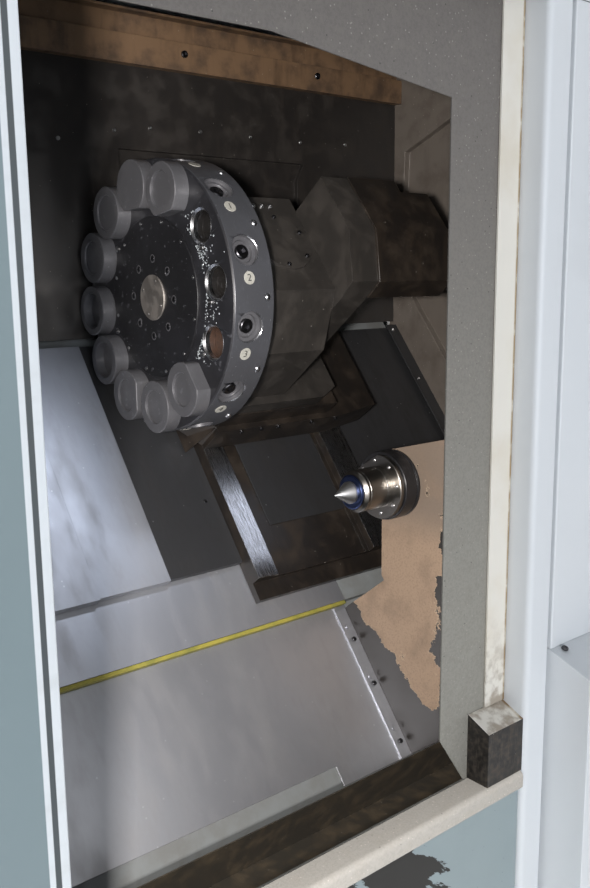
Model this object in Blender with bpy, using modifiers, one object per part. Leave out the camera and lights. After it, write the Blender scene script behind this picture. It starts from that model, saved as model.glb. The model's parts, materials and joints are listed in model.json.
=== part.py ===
# CNC turning lathe with a slanted bed, a twelve-station turret and a tailstock.
# Units are metres. X runs along the spindle axis from the headstock to the tailstock,
# Y runs from the operator to the back and Z is up. The origin is on the floor, below the
# middle of the machine. The bed leans back, so its pieces are drawn in a slanted frame:
# x as above, y up the slant and z out of the bed, from the point of the spindle axis at x = 0.
import bpy
import bmesh
import math
from mathutils import Matrix, Vector

# Fits and facets
GAP = 0.0003                 # between pieces that touch
RUN = 0.0006                 # between sliding cover plates
OVERRUN = 0.004              # how far a cutter passes the face that it cuts
BITE = 0.0008                # how far joined shapes reach into each other
MERGE = 0.00001
FINE_STEPS = 72
ROUND_STEPS = 36
HOLE_STEPS = 20
SMOOTH_ANGLE = math.radians(35)

# Driving dimensions
SLANT = math.radians(52)
SPINDLE_Y = -0.255
SPINDLE_Z = 1.0
HALF_LENGTH = 1.30
HALF_DEPTH = 0.84
HEIGHT = 1.98
FRONT_INSET = 0.18
FRONT_Y = FRONT_INSET - HALF_DEPTH   # outer face of the splash frame
BACK_Y = 0.285               # inner face of the back panel
WORK_LEFT = -0.43
WORK_INSET = 0.243
WORK_RIGHT = HALF_LENGTH - WORK_INSET
SHEET = 0.003
PANEL_WALL = 0.003
PAN_DEPTH = 0.03

# Drive end: each place is set from the one before it
SHAFT_INSET = 0.10
SHAFT_LEFT = SHAFT_INSET - HALF_LENGTH
CYLINDER_LENGTH = 0.13
CYLINDER_RIGHT = SHAFT_LEFT + CYLINDER_LENGTH
GUARD_OFFSET = 0.02
GUARD_LEFT = CYLINDER_RIGHT + GUARD_OFFSET
GUARD_WIDTH = 0.065
GUARD_RIGHT = GUARD_LEFT + GUARD_WIDTH
BED_OFFSET = 0.005
BED_LEFT = GUARD_RIGHT + BED_OFFSET
HEAD_OFFSET = 0.02
HEAD_LEFT = BED_LEFT + HEAD_OFFSET

# Heights out of the bed, in the slanted frame
WAY_Z = -0.240
SADDLE_FLOOR_Z = -0.2588
COVER_Z = -0.262
COVER_THICKNESS = 0.0025
COVER_LIP = 0.020
MIDDLE_SHEET_Z = -0.285
LOWER_SHEET_Z = -0.300
BED_Z = -0.345
BED_WAY_Z = -0.315

# Places up the slant, in the slanted frame
SLIDE_LOW_Y = -0.048
COVER_LOW_Y = -0.005
COVER_HIGH_Y = 0.535
SEAM_Y = -0.1283
LOWER_SHEET_Y = -0.463
LOWER_SHEET_CUT_Y = -0.425
SLIDE_HIGH_Y = 0.54
TURRET_Y = 0.457

COLOURS = {
    "casting": ((0.42, 0.43, 0.43), 0.6, 0.0),
    "steel": ((0.55, 0.56, 0.58), 0.35, 1.0),
    "dark": ((0.06, 0.06, 0.065), 0.5, 0.2),
    "black_oxide": ((0.05, 0.05, 0.055), 0.4, 0.8),
    "ground": ((0.75, 0.76, 0.78), 0.2, 1.0),
    "white": ((0.80, 0.82, 0.83), 0.4, 0.0),
    "teal": ((0.52, 0.60, 0.61), 0.4, 0.0),
    "cream": ((0.80, 0.76, 0.68), 0.5, 0.0),
    "brown": ((0.28, 0.21, 0.16), 0.7, 0.1),
    "tan": ((0.60, 0.48, 0.38), 0.8, 0.0),
    "grey_plate": ((0.40, 0.38, 0.36), 0.6, 0.1),
    "rust": ((0.20, 0.16, 0.12), 0.9, 0.1),
    "yellow": ((0.55, 0.52, 0.16), 0.7, 0.0),
    "rubber": ((0.03, 0.03, 0.03), 0.8, 0.0),
    "glass": ((0.65, 0.72, 0.74), 0.1, 0.0),
    "red": ((0.75, 0.04, 0.03), 0.4, 0.0),
    "wall": ((0.42, 0.37, 0.33), 0.6, 0.1),
}

AXES = {
    "X": Matrix(((0, 0, 1, 0), (1, 0, 0, 0), (0, 1, 0, 0), (0, 0, 0, 1))),
    "Y": Matrix(((0, 1, 0, 0), (0, 0, 1, 0), (1, 0, 0, 0), (0, 0, 0, 1))),
    "Z": Matrix.Identity(4),
}

for leftover in list(bpy.data.objects):
    bpy.data.objects.remove(leftover)

parts = bpy.data.collections.new("cnc_turning_lathe")
cutters = bpy.data.collections.new("cutters")
bpy.context.scene.collection.children.link(parts)
bpy.context.scene.collection.children.link(cutters)


def bed_point(y, z):
    """World (Y, Z) of a point of the slanted frame."""
    across = SPINDLE_Y + y * math.cos(SLANT) - z * math.sin(SLANT)
    up = SPINDLE_Z + y * math.sin(SLANT) + z * math.cos(SLANT)
    return (across, up)


def frame_at(name, location, tilt=0.0):
    """An empty that carries pieces; tilt turns it about X."""
    empty = bpy.data.objects.new(name, None)
    empty.location = location
    empty.rotation_euler = (tilt, 0.0, 0.0)
    empty.empty_display_size = GAP
    parts.objects.link(empty)
    return empty


def material_for(name, finish):
    """A plain surface of its own for each piece."""
    colour, roughness, metallic = COLOURS[finish]
    surface = bpy.data.materials.new(name)
    surface.use_nodes = True
    shader = surface.node_tree.nodes["Principled BSDF"]
    shader.inputs["Base Color"].default_value = (*colour, 1.0)
    shader.inputs["Roughness"].default_value = roughness
    shader.inputs["Metallic"].default_value = metallic
    return surface


def place(name, mesh, frame, finish):
    """Makes a piece from a mesh, or a hidden cutter where finish is None."""
    item = bpy.data.objects.new(name, mesh)
    if finish is None:
        cutters.objects.link(item)
        item.hide_render = True
        item.display_type = "WIRE"
    else:
        parts.objects.link(item)
        mesh.materials.append(material_for(name, finish))
    item.parent = frame
    return item


def solids_mesh(name, build):
    """A mesh that the function build fills through bmesh."""
    shape = bmesh.new()
    build(shape)
    mesh = bpy.data.meshes.new(name)
    shape.to_mesh(mesh)
    shape.free()
    return mesh


def block(name, low, high, frame=None, finish=None):
    """A box between two corners."""
    low, high = Vector(low), Vector(high)
    size = high - low
    spot = Matrix.Translation((low + high) / 2) @ Matrix.Diagonal((*size, 1.0))

    def build(shape):
        bmesh.ops.create_cube(shape, size=1.0, matrix=spot)

    return place(name, solids_mesh(name, build), frame, finish)


def pan(name, low, high, open_side, wall=PANEL_WALL, frame=None, finish=None):
    """A folded sheet-metal pan: a box without the side named by open_side, with its wall inside."""
    low, high = Vector(low), Vector(high)
    spot = Matrix.Translation((low + high) / 2) @ Matrix.Diagonal((*(high - low), 1.0))
    axis, sign = "XYZ".index(open_side[1]), (1 if open_side[0] == "+" else -1)

    def build(shape):
        bmesh.ops.create_cube(shape, size=1.0, matrix=spot)
        open_faces = [face for face in shape.faces if face.normal[axis] * sign > math.cos(SMOOTH_ANGLE)]
        bmesh.ops.delete(shape, geom=open_faces, context="FACES_ONLY")

    item = place(name, solids_mesh(name, build), frame, finish)
    skin = item.modifiers.new("wall", "SOLIDIFY")
    skin.thickness = wall
    skin.offset = -1.0
    skin.use_even_offset = True
    return item


def rods_mesh(name, spans, steps):
    """One mesh of separate round bars; each span is (start, end, start radius, end radius)."""
    def build(shape):
        for start, end, radius, end_radius in spans:
            start, end = Vector(start), Vector(end)
            turn = (end - start).to_track_quat("Z", "Y").to_matrix().to_4x4()
            spot = Matrix.Translation((start + end) / 2) @ turn
            bmesh.ops.create_cone(
                shape, cap_ends=True, segments=steps, radius1=radius, radius2=end_radius,
                depth=(end - start).length, matrix=spot)

    mesh = solids_mesh(name, build)
    mesh.shade_smooth()
    mesh.set_sharp_from_angle(angle=SMOOTH_ANGLE)
    return mesh


def rods(name, spans, frame=None, finish=None, steps=HOLE_STEPS):
    """Round bars of one radius each: spans of (start, end, radius)."""
    full = [(start, end, radius, radius) for start, end, radius in spans]
    return place(name, rods_mesh(name, full, steps), frame, finish)


def extruded(name, outline, low, high, along, frame=None, finish=None):
    """A flat outline drawn out along an axis. Outlines are (Y, Z) along X, (Z, X) along Y and (X, Y) along Z."""
    curve = bpy.data.curves.new(name, "CURVE")
    curve.dimensions = "2D"
    curve.fill_mode = "BOTH"
    curve.extrude = (high - low) / 2
    spline = curve.splines.new("POLY")
    spline.points.add(len(outline) - 1)
    for point, spot in zip(spline.points, outline):
        point.co = (*spot, 0.0, 1.0)
    spline.use_cyclic_u = True
    drawn = bpy.data.objects.new(name + "_outline", curve)
    bpy.context.scene.collection.objects.link(drawn)
    evaluated = drawn.evaluated_get(bpy.context.evaluated_depsgraph_get())
    mesh = bpy.data.meshes.new_from_object(evaluated)
    bpy.data.objects.remove(drawn)
    bpy.data.curves.remove(curve)
    shape = bmesh.new()
    shape.from_mesh(mesh)
    bmesh.ops.remove_doubles(shape, verts=shape.verts, dist=MERGE)
    shape.transform(AXES[along] @ Matrix.Translation((0.0, 0.0, (low + high) / 2)))
    shape.to_mesh(mesh)
    shape.free()
    mesh.name = name
    return place(name, mesh, frame, finish)


def turned(name, profile, frame=None, finish=None, steps=ROUND_STEPS, closed=False):
    """A turned shape about X. The profile is (x, radius), from high x to low x along its outer side."""
    mesh = bpy.data.meshes.new(name)
    spots = [(radius, 0.0, x) for x, radius in profile]
    edges = [(index, index + 1) for index in range(len(spots) - 1)]
    if closed:
        edges.append((len(spots) - 1, 0))
    mesh.from_pydata(spots, edges, [])
    item = place(name, mesh, frame, finish)
    item.rotation_euler = (0.0, math.pi / 2, 0.0)
    spin = item.modifiers.new("turn", "SCREW")
    spin.axis = "Z"
    spin.angle = 2 * math.pi
    spin.screw_offset = 0.0
    spin.steps = steps
    spin.render_steps = steps
    spin.use_merge_vertices = True
    spin.merge_threshold = MERGE
    spin.use_smooth_shade = True
    return item


def cut(item, tool):
    """Takes the tool's shape out of the piece."""
    change = item.modifiers.new(tool.name, "BOOLEAN")
    change.operation = "DIFFERENCE"
    change.solver = "EXACT"
    change.object = tool


def fuse(item, other):
    """Joins another shape to the piece."""
    change = item.modifiers.new(other.name, "BOOLEAN")
    change.operation = "UNION"
    change.solver = "EXACT"
    change.object = other


def ease(item, width, segments=1):
    """Rounds or breaks the outer edges."""
    edge = item.modifiers.new("edges", "BEVEL")
    edge.width = width
    edge.segments = segments
    edge.limit_method = "ANGLE"
    edge.angle_limit = SMOOTH_ANGLE
    edge.harden_normals = False


def arc(centre, radius, start, end, count):
    """Points on a round stretch from one angle to another, in degrees."""
    turns = [math.radians(start + (end - start) * index / count) for index in range(count + 1)]
    return [(centre[0] + radius * math.cos(turn), centre[1] + radius * math.sin(turn)) for turn in turns]


bed_frame = frame_at("bed_frame", (0.0, SPINDLE_Y, SPINDLE_Z), SLANT)
spindle_frame = frame_at("spindle_axis", (0.0, SPINDLE_Y, SPINDLE_Z))
turret_spot = bed_point(TURRET_Y, 0.0)
turret_frame = frame_at("turret_axis", (0.0, *turret_spot))

# Base and bed
BASE_INSET = 0.15
BASE_HALF_LENGTH = HALF_LENGTH - BASE_INSET
BASE_LOW_Z = 0.06
BASE_HIGH_Z = 0.34
BASE_RELIEF = 0.05
BASE_BACK_Y = HALF_DEPTH - PAN_DEPTH - GAP
BED_BACK_INSET = 0.34
BED_BACK_Y = HALF_DEPTH - BED_BACK_INSET
BED_SHOULDER_SHARE = 0.5     # from the upper pad's end to the bed's back
BED_SHOULDER_Z = 1.16
BED_FOOT_Y = -0.25
BED_PAD_LOW_Y = -0.02
BED_WAYS_Y = ((0.02, 0.10), (0.42, 0.50))
BED_UPPER_PAD_Y = (0.545, 0.60)
BED_TOE_Y = -0.455
FOOT_RADIUS = 0.05
FOOT_PAD = 0.022
FOOT_STUD_RADIUS = 0.018
FOOT_INSET_X = 0.16
FOOT_INSET_Y = 0.14


def make_base():
    outline = [
        (FRONT_Y, BASE_LOW_Z + BASE_RELIEF), (FRONT_Y + BASE_RELIEF, BASE_LOW_Z),
        (BASE_BACK_Y - BASE_RELIEF, BASE_LOW_Z), (BASE_BACK_Y, BASE_LOW_Z + BASE_RELIEF),
        (BASE_BACK_Y, BASE_HIGH_Z), (FRONT_Y, BASE_HIGH_Z)]
    extruded("base_casting", outline, -BASE_HALF_LENGTH, BASE_HALF_LENGTH, "X", finish="casting")


def make_bed():
    lower_seat = LOWER_SHEET_Z - SHEET - GAP
    middle_seat = MIDDLE_SHEET_Z - SHEET - GAP
    steps = [
        (BED_TOE_Y, lower_seat), (SEAM_Y, lower_seat), (SEAM_Y, middle_seat),
        (BED_PAD_LOW_Y, middle_seat), (BED_PAD_LOW_Y, BED_Z)]
    for low, high in BED_WAYS_Y:
        steps += [(low, BED_Z), (low, BED_WAY_Z), (high, BED_WAY_Z), (high, BED_Z)]
    pad_low, pad_high = BED_UPPER_PAD_Y
    steps += [(pad_low, BED_Z), (pad_low, middle_seat), (pad_high, middle_seat)]
    outline = [bed_point(y, z) for y, z in steps]
    pad_end, pad_top = outline[-1]
    shoulder = pad_end + (BED_BACK_Y - pad_end) * BED_SHOULDER_SHARE
    outline += [
        (shoulder, pad_top), (BED_BACK_Y, BED_SHOULDER_Z), (BED_BACK_Y, BASE_HIGH_Z + GAP),
        (BED_FOOT_Y, BASE_HIGH_Z + GAP)]
    extruded("slant_bed", outline, BED_LEFT, WORK_RIGHT - GAP, "X", finish="casting")


def make_feet():
    count = 0
    for x in (-BASE_HALF_LENGTH + FOOT_INSET_X, BASE_HALF_LENGTH - FOOT_INSET_X):
        for y in (FRONT_Y + FOOT_INSET_Y, BASE_BACK_Y - FOOT_INSET_Y):
            count += 1
            spans = [
                ((x, y, 0.0), (x, y, FOOT_PAD), FOOT_RADIUS, FOOT_RADIUS * 0.8)]
            name = f"levelling_foot_{count}"
            foot = place(name, rods_mesh(name, spans, HOLE_STEPS), None, "steel")
            stud = rods(name + "_stud", [((x, y, FOOT_PAD - BITE), (x, y, BASE_LOW_Z - GAP), FOOT_STUD_RADIUS)])
            fuse(foot, stud)


make_base()
make_bed()
make_feet()

# Slope sheets, seam, trough
TAIL_X = 0.515
SHEET_RIGHT = TAIL_X - GAP
LOWER_CUT_X = 0.335
SEAL_WIDTH = 0.008
SEAL_HEIGHT = 0.0165
STRIP_WIDTH = 0.028
STRIP_THICKNESS = 0.0034
STRIP_SCREW_SHARES = (0.18, 0.52, 0.86)
SCREW_RADIUS = 0.005
SCREW_HEIGHT = 0.003
TROUGH_FRONT_TOP_Z = 0.60
TROUGH_BACK_TOP_Z = 0.44


def make_sheets():
    top = SEAM_Y - SEAL_WIDTH - GAP
    outline = [
        (WORK_LEFT, LOWER_SHEET_CUT_Y), (LOWER_CUT_X, LOWER_SHEET_CUT_Y), (LOWER_CUT_X, LOWER_SHEET_Y),
        (SHEET_RIGHT, LOWER_SHEET_Y), (SHEET_RIGHT, top), (WORK_LEFT, top)]
    extruded("lower_slope_sheet", outline, LOWER_SHEET_Z - SHEET, LOWER_SHEET_Z, "Z", bed_frame, "steel")
    block("middle_slope_sheet", (WORK_LEFT, SEAM_Y, MIDDLE_SHEET_Z - SHEET),
          (SHEET_RIGHT, BED_WAYS_Y[0][0], MIDDLE_SHEET_Z), bed_frame, "steel")
    block("seam_seal", (WORK_LEFT, SEAM_Y - SEAL_WIDTH, MIDDLE_SHEET_Z - SEAL_HEIGHT),
          (SHEET_RIGHT, SEAM_Y - GAP, MIDDLE_SHEET_Z), bed_frame, "yellow")
    low = LOWER_SHEET_Z + GAP
    strip = block("sheet_end_strip", (SHEET_RIGHT - STRIP_WIDTH, LOWER_SHEET_Y, low),
                  (SHEET_RIGHT, top, low + STRIP_THICKNESS), bed_frame, "steel")
    spans = []
    for share in STRIP_SCREW_SHARES:
        spot = (SHEET_RIGHT - STRIP_WIDTH / 2, LOWER_SHEET_Y + (top - LOWER_SHEET_Y) * share)
        head = low + STRIP_THICKNESS
        spans.append(((*spot, head - BITE), (*spot, head + SCREW_HEIGHT), SCREW_RADIUS))
    fuse(strip, rods("strip_screws", spans, bed_frame))


def make_trough():
    front = FRONT_Y + SHEET + GAP
    floor = BASE_HIGH_Z + GAP
    lean = (TROUGH_BACK_TOP_Z - floor) * (BED_FOOT_Y - bed_point(BED_TOE_Y, LOWER_SHEET_Z)[0]) / (
        bed_point(BED_TOE_Y, LOWER_SHEET_Z)[1] - floor)
    back = BED_FOOT_Y - SHEET
    outline = [
        (front, TROUGH_FRONT_TOP_Z), (front, floor), (back, floor), (back - lean, TROUGH_BACK_TOP_Z),
        (back - lean - SHEET, TROUGH_BACK_TOP_Z), (back - SHEET, floor + SHEET), (front + SHEET, floor + SHEET),
        (front + SHEET, TROUGH_FRONT_TOP_Z)]
    extruded("chip_trough", outline, WORK_LEFT, WORK_RIGHT - GAP, "X", finish="rust")


make_sheets()
make_trough()

# Inner walls, back panel and top beam
INNER_TOP_Z = 1.93
BACK_THICKNESS = 0.015
POCKET_DEPTH = 0.012
POCKET_X = (0.245, 0.745)
POCKET_DROP = 0.27
POCKET_TOP_Z = INNER_TOP_Z - POCKET_DROP
POCKET_SLOPE = 0.02
BEAM_DROP = 0.104
BEAM_LOW_Z = INNER_TOP_Z - BEAM_DROP
BEAM_HEIGHT = 0.057
BEAM_HIGH_Z = BEAM_LOW_Z + BEAM_HEIGHT
BEAM_DEPTH = 0.023
BEAM_WEB = 0.005
LEDGE_DROP = 0.004
LEDGE_Z = INNER_TOP_Z - LEDGE_DROP
LEDGE_DEPTH = 0.030
LEDGE_THICKNESS = 0.005
WALL_THICKNESS = 0.025
WALL_POCKET_DEPTH = 0.018
WALL_HOLE_RADIUS = 0.15
WALL_CLEARANCE = 0.012
WALL_FRONT_LOW_Z = 0.66
WALL_POCKET_INSET = 0.06
WALL_POCKET_FRONT = FRONT_Y + WALL_POCKET_INSET
WALL_POCKET_DROP = 0.03
WALL_FOLD_DROP = 0.223
WALL_POCKET_TOP = INNER_TOP_Z - WALL_POCKET_DROP
WALL_POCKET = (
    (0.262, 1.40), (0.248, INNER_TOP_Z - WALL_FOLD_DROP), (-0.21, WALL_POCKET_TOP),
    (WALL_POCKET_FRONT, WALL_POCKET_TOP), (WALL_POCKET_FRONT, 0.62),
    (-0.344, 0.62), (-0.097, 0.93), (0.20, 1.31))


def make_back_panel():
    low = bed_point(COVER_HIGH_Y, COVER_Z)[1] + WALL_CLEARANCE
    panel = block("back_panel", (WORK_LEFT, BACK_Y, low), (WORK_RIGHT - GAP, BACK_Y + BACK_THICKNESS, INNER_TOP_Z),
                  finish="dark")
    left, right = POCKET_X
    outline = [
        (low - OVERRUN, left), (POCKET_TOP_Z, left), (POCKET_TOP_Z, right),
        (POCKET_TOP_Z - POCKET_SLOPE * 2, right - POCKET_SLOPE), (low - OVERRUN, right - POCKET_SLOPE)]
    cut(panel, extruded("back_pocket", outline, BACK_Y - OVERRUN, BACK_Y + POCKET_DEPTH, "Y"))


def make_top_beam():
    back = BACK_Y - GAP
    outline = [
        (back, BEAM_LOW_Z), (back, LEDGE_Z + LEDGE_THICKNESS), (back - LEDGE_DEPTH, LEDGE_Z + LEDGE_THICKNESS),
        (back - LEDGE_DEPTH, LEDGE_Z), (back - BEAM_WEB, LEDGE_Z), (back - BEAM_WEB, BEAM_HIGH_Z),
        (back - BEAM_DEPTH, BEAM_HIGH_Z), (back - BEAM_DEPTH, BEAM_LOW_Z)]
    extruded("top_beam", outline, WORK_LEFT, WORK_RIGHT - GAP, "X", finish="brown")


def make_inner_walls():
    front = FRONT_Y + SHEET + GAP
    back = BACK_Y + BACK_THICKNESS
    right = block("inner_wall_right", (WORK_RIGHT, front, BASE_HIGH_Z + GAP),
                  (WORK_RIGHT + WALL_THICKNESS, back, INNER_TOP_Z), finish="wall")
    cut(right, extruded("wall_pocket", WALL_POCKET, WORK_RIGHT - OVERRUN, WORK_RIGHT + WALL_POCKET_DEPTH, "X"))
    low_z = COVER_Z + WALL_CLEARANCE
    foot_y = (WALL_FRONT_LOW_Z - SPINDLE_Z - low_z * math.cos(SLANT)) / math.sin(SLANT)
    top_y = (BACK_Y - GAP - SPINDLE_Y + low_z * math.sin(SLANT)) / math.cos(SLANT)
    outline = [
        bed_point(top_y, low_z), (BACK_Y - GAP, BEAM_LOW_Z - GAP), (front, BEAM_LOW_Z - GAP),
        (front, WALL_FRONT_LOW_Z), bed_point(foot_y, low_z)]
    left = extruded("inner_wall_left", outline, WORK_LEFT - SHEET - GAP, WORK_LEFT - GAP, "X", finish="wall")
    hole = rods("spindle_window", [((WORK_LEFT - SHEET - OVERRUN, 0.0, 0.0), (WORK_LEFT + OVERRUN, 0.0, 0.0),
                WALL_HOLE_RADIUS)], spindle_frame, steps=ROUND_STEPS)
    cut(left, hole)


make_back_panel()
make_top_beam()
make_inner_walls()

# Front of the enclosure
PANEL_STEP = 0.045
PANEL_FRONT_Y = FRONT_Y - PANEL_STEP
LEFT_PANEL_STEP = 0.040
LEFT_PANEL_Y = FRONT_Y - LEFT_PANEL_STEP
PANEL_TOP_Z = 1.76
PANEL_LOW_Z = 0.10
OPENING_LEFT = -0.47
OPENING_RIGHT = 0.195
OPENING_DROP = 0.274
OPENING_TOP_Z = INNER_TOP_Z - OPENING_DROP
OPENING_RIGHT_DROP = 0.311
OPENING_TOP_RIGHT_Z = INNER_TOP_Z - OPENING_RIGHT_DROP
OPENING_BEND_X = -0.097
OPENING_CHAMFER = 0.053
SILL_Z = 0.655
SILL_THICKNESS = 0.026
SILL_ROUND = 0.009
TRIM_LEFT = 0.290
POST_LEFT = 0.335
POST_RIGHT = 0.382
POST_ROUND = 0.010
GROOVE = 0.010
GROOVE_DEPTH = 0.012
TRIM_THICKNESS = 0.004
CORNER_BLOCK_LEFT = 0.255
CORNER_BLOCK_Z = 0.757
CORNER_BLOCK_SLOPE = 0.018
CABINET_STEP = 0.115
CABINET_FRONT_Y = FRONT_Y - CABINET_STEP
CABINET_BACK_Z = 0.834
CABINET_FRONT_Z = 0.807


def make_splash_frame():
    top = INNER_TOP_Z
    frame = block("splash_frame", (WORK_LEFT - PAN_DEPTH * 6, FRONT_Y, BASE_HIGH_Z + GAP),
                  (WORK_RIGHT + WALL_THICKNESS, FRONT_Y + SHEET, top), finish="grey_plate")
    opening = [
        (SILL_Z, OPENING_LEFT), (SILL_Z, OPENING_RIGHT + OPENING_CHAMFER),
        (SILL_Z + OPENING_CHAMFER * 1.5, OPENING_RIGHT), (OPENING_TOP_RIGHT_Z, OPENING_RIGHT),
        (OPENING_TOP_Z, OPENING_BEND_X), (OPENING_TOP_Z, OPENING_LEFT)]
    cut(frame, extruded("door_opening", opening, FRONT_Y - OVERRUN, FRONT_Y + SHEET + OVERRUN, "Y"))


def make_sill():
    back = FRONT_Y - GAP
    corner = (PANEL_FRONT_Y + SILL_ROUND, SILL_Z - SILL_ROUND)
    outline = [(back, SILL_Z - SILL_THICKNESS), (back, SILL_Z)]
    outline += arc(corner, SILL_ROUND, 90, 180, 6)
    outline += [(PANEL_FRONT_Y, SILL_Z - SILL_THICKNESS)]
    extruded("sill", outline, OPENING_LEFT + GAP, POST_LEFT - GAP, "X", finish="teal")
    pan("front_lower_panel", (OPENING_LEFT + GAP, LEFT_PANEL_Y + SHEET, PANEL_LOW_Z),
        (POST_LEFT - GAP, FRONT_Y - GAP, SILL_Z - SILL_THICKNESS - GAP), "+Y", finish="teal")


def make_jamb():
    block("jamb_trim", (TRIM_LEFT, FRONT_Y - GAP - TRIM_THICKNESS, CORNER_BLOCK_Z + GAP),
          (POST_LEFT - GAP, FRONT_Y - GAP, PANEL_TOP_Z), finish="cream")
    back = FRONT_Y - GAP
    shelf = PANEL_FRONT_Y + GROOVE_DEPTH
    outline = [(POST_LEFT, back)]
    outline += arc((POST_LEFT + POST_ROUND, PANEL_FRONT_Y + POST_ROUND), POST_ROUND, 180, 270, 6)
    outline += [(POST_RIGHT, PANEL_FRONT_Y), (POST_RIGHT, shelf), (POST_RIGHT + GROOVE, shelf),
                (POST_RIGHT + GROOVE, back)]
    post = extruded("jamb_post", outline, PANEL_LOW_Z, PANEL_TOP_Z, "Z", finish="white")
    front = LEFT_PANEL_Y
    low = SILL_Z + GAP
    side = [(front, low), (back, low), (back, CORNER_BLOCK_Z), (front, CORNER_BLOCK_Z - CORNER_BLOCK_SLOPE)]
    corner = extruded("corner_block", side, CORNER_BLOCK_LEFT, POST_LEFT + BITE, "X")
    fuse(post, corner)


def make_front_panels():
    pan("front_panel_left", (-HALF_LENGTH + PAN_DEPTH + GAP, LEFT_PANEL_Y, PANEL_LOW_Z),
        (OPENING_LEFT, FRONT_Y - GAP, PANEL_TOP_Z), "+Y", finish="white")
    left = POST_RIGHT + GROOVE + GAP
    right = HALF_LENGTH - PAN_DEPTH - GAP
    pan("front_panel_right", (left, PANEL_FRONT_Y, CABINET_BACK_Z + GAP), (right, FRONT_Y - GAP, PANEL_TOP_Z),
        "+Y", finish="white")
    back = FRONT_Y - GAP
    outline = [
        (CABINET_FRONT_Y, PANEL_LOW_Z), (back, PANEL_LOW_Z), (back, CABINET_BACK_Z),
        (PANEL_FRONT_Y, CABINET_BACK_Z), (CABINET_FRONT_Y, CABINET_FRONT_Z)]
    cabinet = extruded("lower_cabinet", outline, left, right, "X", finish="white")
    wall = PANEL_WALL
    inner = [
        (CABINET_FRONT_Y + wall, PANEL_LOW_Z + wall), (back + OVERRUN, PANEL_LOW_Z + wall),
        (back + OVERRUN, CABINET_BACK_Z - wall), (PANEL_FRONT_Y, CABINET_BACK_Z - wall),
        (CABINET_FRONT_Y + wall, CABINET_FRONT_Z - wall)]
    cut(cabinet, extruded("cabinet_room", inner, left + wall, right - wall, "X"))


def make_covers():
    inner = HALF_LENGTH - PAN_DEPTH
    back = HALF_DEPTH - PAN_DEPTH
    pan("side_cover_left", (-HALF_LENGTH, PANEL_FRONT_Y + SHEET, PANEL_LOW_Z), (-inner, HALF_DEPTH, PANEL_TOP_Z),
        "+X", finish="white")
    pan("side_cover_right", (inner, PANEL_FRONT_Y + SHEET, PANEL_LOW_Z), (HALF_LENGTH, HALF_DEPTH, PANEL_TOP_Z),
        "-X", finish="white")
    pan("rear_cover", (-inner + GAP, back, PANEL_LOW_Z), (inner - GAP, HALF_DEPTH, PANEL_TOP_Z), "-Y",
        finish="white")
    pan("roof_cover", (-HALF_LENGTH, PANEL_FRONT_Y, PANEL_TOP_Z + GAP), (HALF_LENGTH, HALF_DEPTH, HEIGHT), "-Z",
        finish="white")


make_splash_frame()
make_sill()
make_jamb()
make_front_panels()
make_covers()

# Sliding door
DOOR_RIGHT = -0.417
DOOR_INSET = 0.083
DOOR_WIDTH = DOOR_RIGHT + HALF_LENGTH - DOOR_INSET
DOOR_FRONT_STEP = 0.085
DOOR_FRONT_Y = FRONT_Y - DOOR_FRONT_STEP
DOOR_BACK_STEP = 0.055
DOOR_BACK_Y = FRONT_Y - DOOR_BACK_STEP
DOOR_LOW_Z = 0.665
DOOR_HIGH_Z = 1.79
WINDOW_SIDE = 0.15
WINDOW_LOW = 0.30
WINDOW_HIGH = 0.14
WINDOW_THICKNESS = 0.008
WINDOW_REBATE = 0.012
RAIL_HEIGHT = 0.03
RAIL_RIGHT = 0.36
RAIL_LIP = 0.006
HANDLE_X = -0.52
HANDLE_HALF = 0.14
HANDLE_RADIUS = 0.011
HANDLE_REACH = 0.045
HANDLE_Z = 1.15


def make_door():
    left = DOOR_RIGHT - DOOR_WIDTH
    door = block("door_frame", (left, DOOR_FRONT_Y, DOOR_LOW_Z), (DOOR_RIGHT, DOOR_BACK_Y, DOOR_HIGH_Z),
                 finish="teal")
    window = (left + WINDOW_SIDE, DOOR_RIGHT - WINDOW_SIDE, DOOR_LOW_Z + WINDOW_LOW, DOOR_HIGH_Z - WINDOW_HIGH)
    cut(door, block("window_hole", (window[0], DOOR_FRONT_Y - OVERRUN, window[2]),
                    (window[1], DOOR_BACK_Y + OVERRUN, window[3])))
    cut(door, block("window_rebate", (window[0] - WINDOW_REBATE, DOOR_BACK_Y - WINDOW_THICKNESS, window[2] - WINDOW_REBATE),
                    (window[1] + WINDOW_REBATE, DOOR_BACK_Y + OVERRUN, window[3] + WINDOW_REBATE)))
    block("door_window", (window[0] - WINDOW_REBATE + GAP, DOOR_BACK_Y - WINDOW_THICKNESS + GAP,
                          window[2] - WINDOW_REBATE + GAP),
          (window[1] + WINDOW_REBATE - GAP, DOOR_BACK_Y - GAP, window[3] + WINDOW_REBATE - GAP), finish="glass")


def make_handle():
    out = DOOR_FRONT_Y - HANDLE_REACH
    seat = DOOR_FRONT_Y - GAP
    low, high = HANDLE_Z - HANDLE_HALF, HANDLE_Z + HANDLE_HALF
    route = [(HANDLE_X, seat, low), (HANDLE_X, out + HANDLE_RADIUS, low), (HANDLE_X, out, low + HANDLE_RADIUS),
             (HANDLE_X, out, high - HANDLE_RADIUS), (HANDLE_X, out + HANDLE_RADIUS, high), (HANDLE_X, seat, high)]
    curve = bpy.data.curves.new("door_handle", "CURVE")
    curve.dimensions = "3D"
    curve.bevel_depth = HANDLE_RADIUS
    curve.bevel_resolution = 2
    curve.use_fill_caps = True
    spline = curve.splines.new("POLY")
    spline.points.add(len(route) - 1)
    for point, spot in zip(spline.points, route):
        point.co = (*spot, 1.0)
    handle = bpy.data.objects.new("door_handle", curve)
    curve.materials.append(material_for("door_handle", "steel"))
    parts.objects.link(handle)


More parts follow.
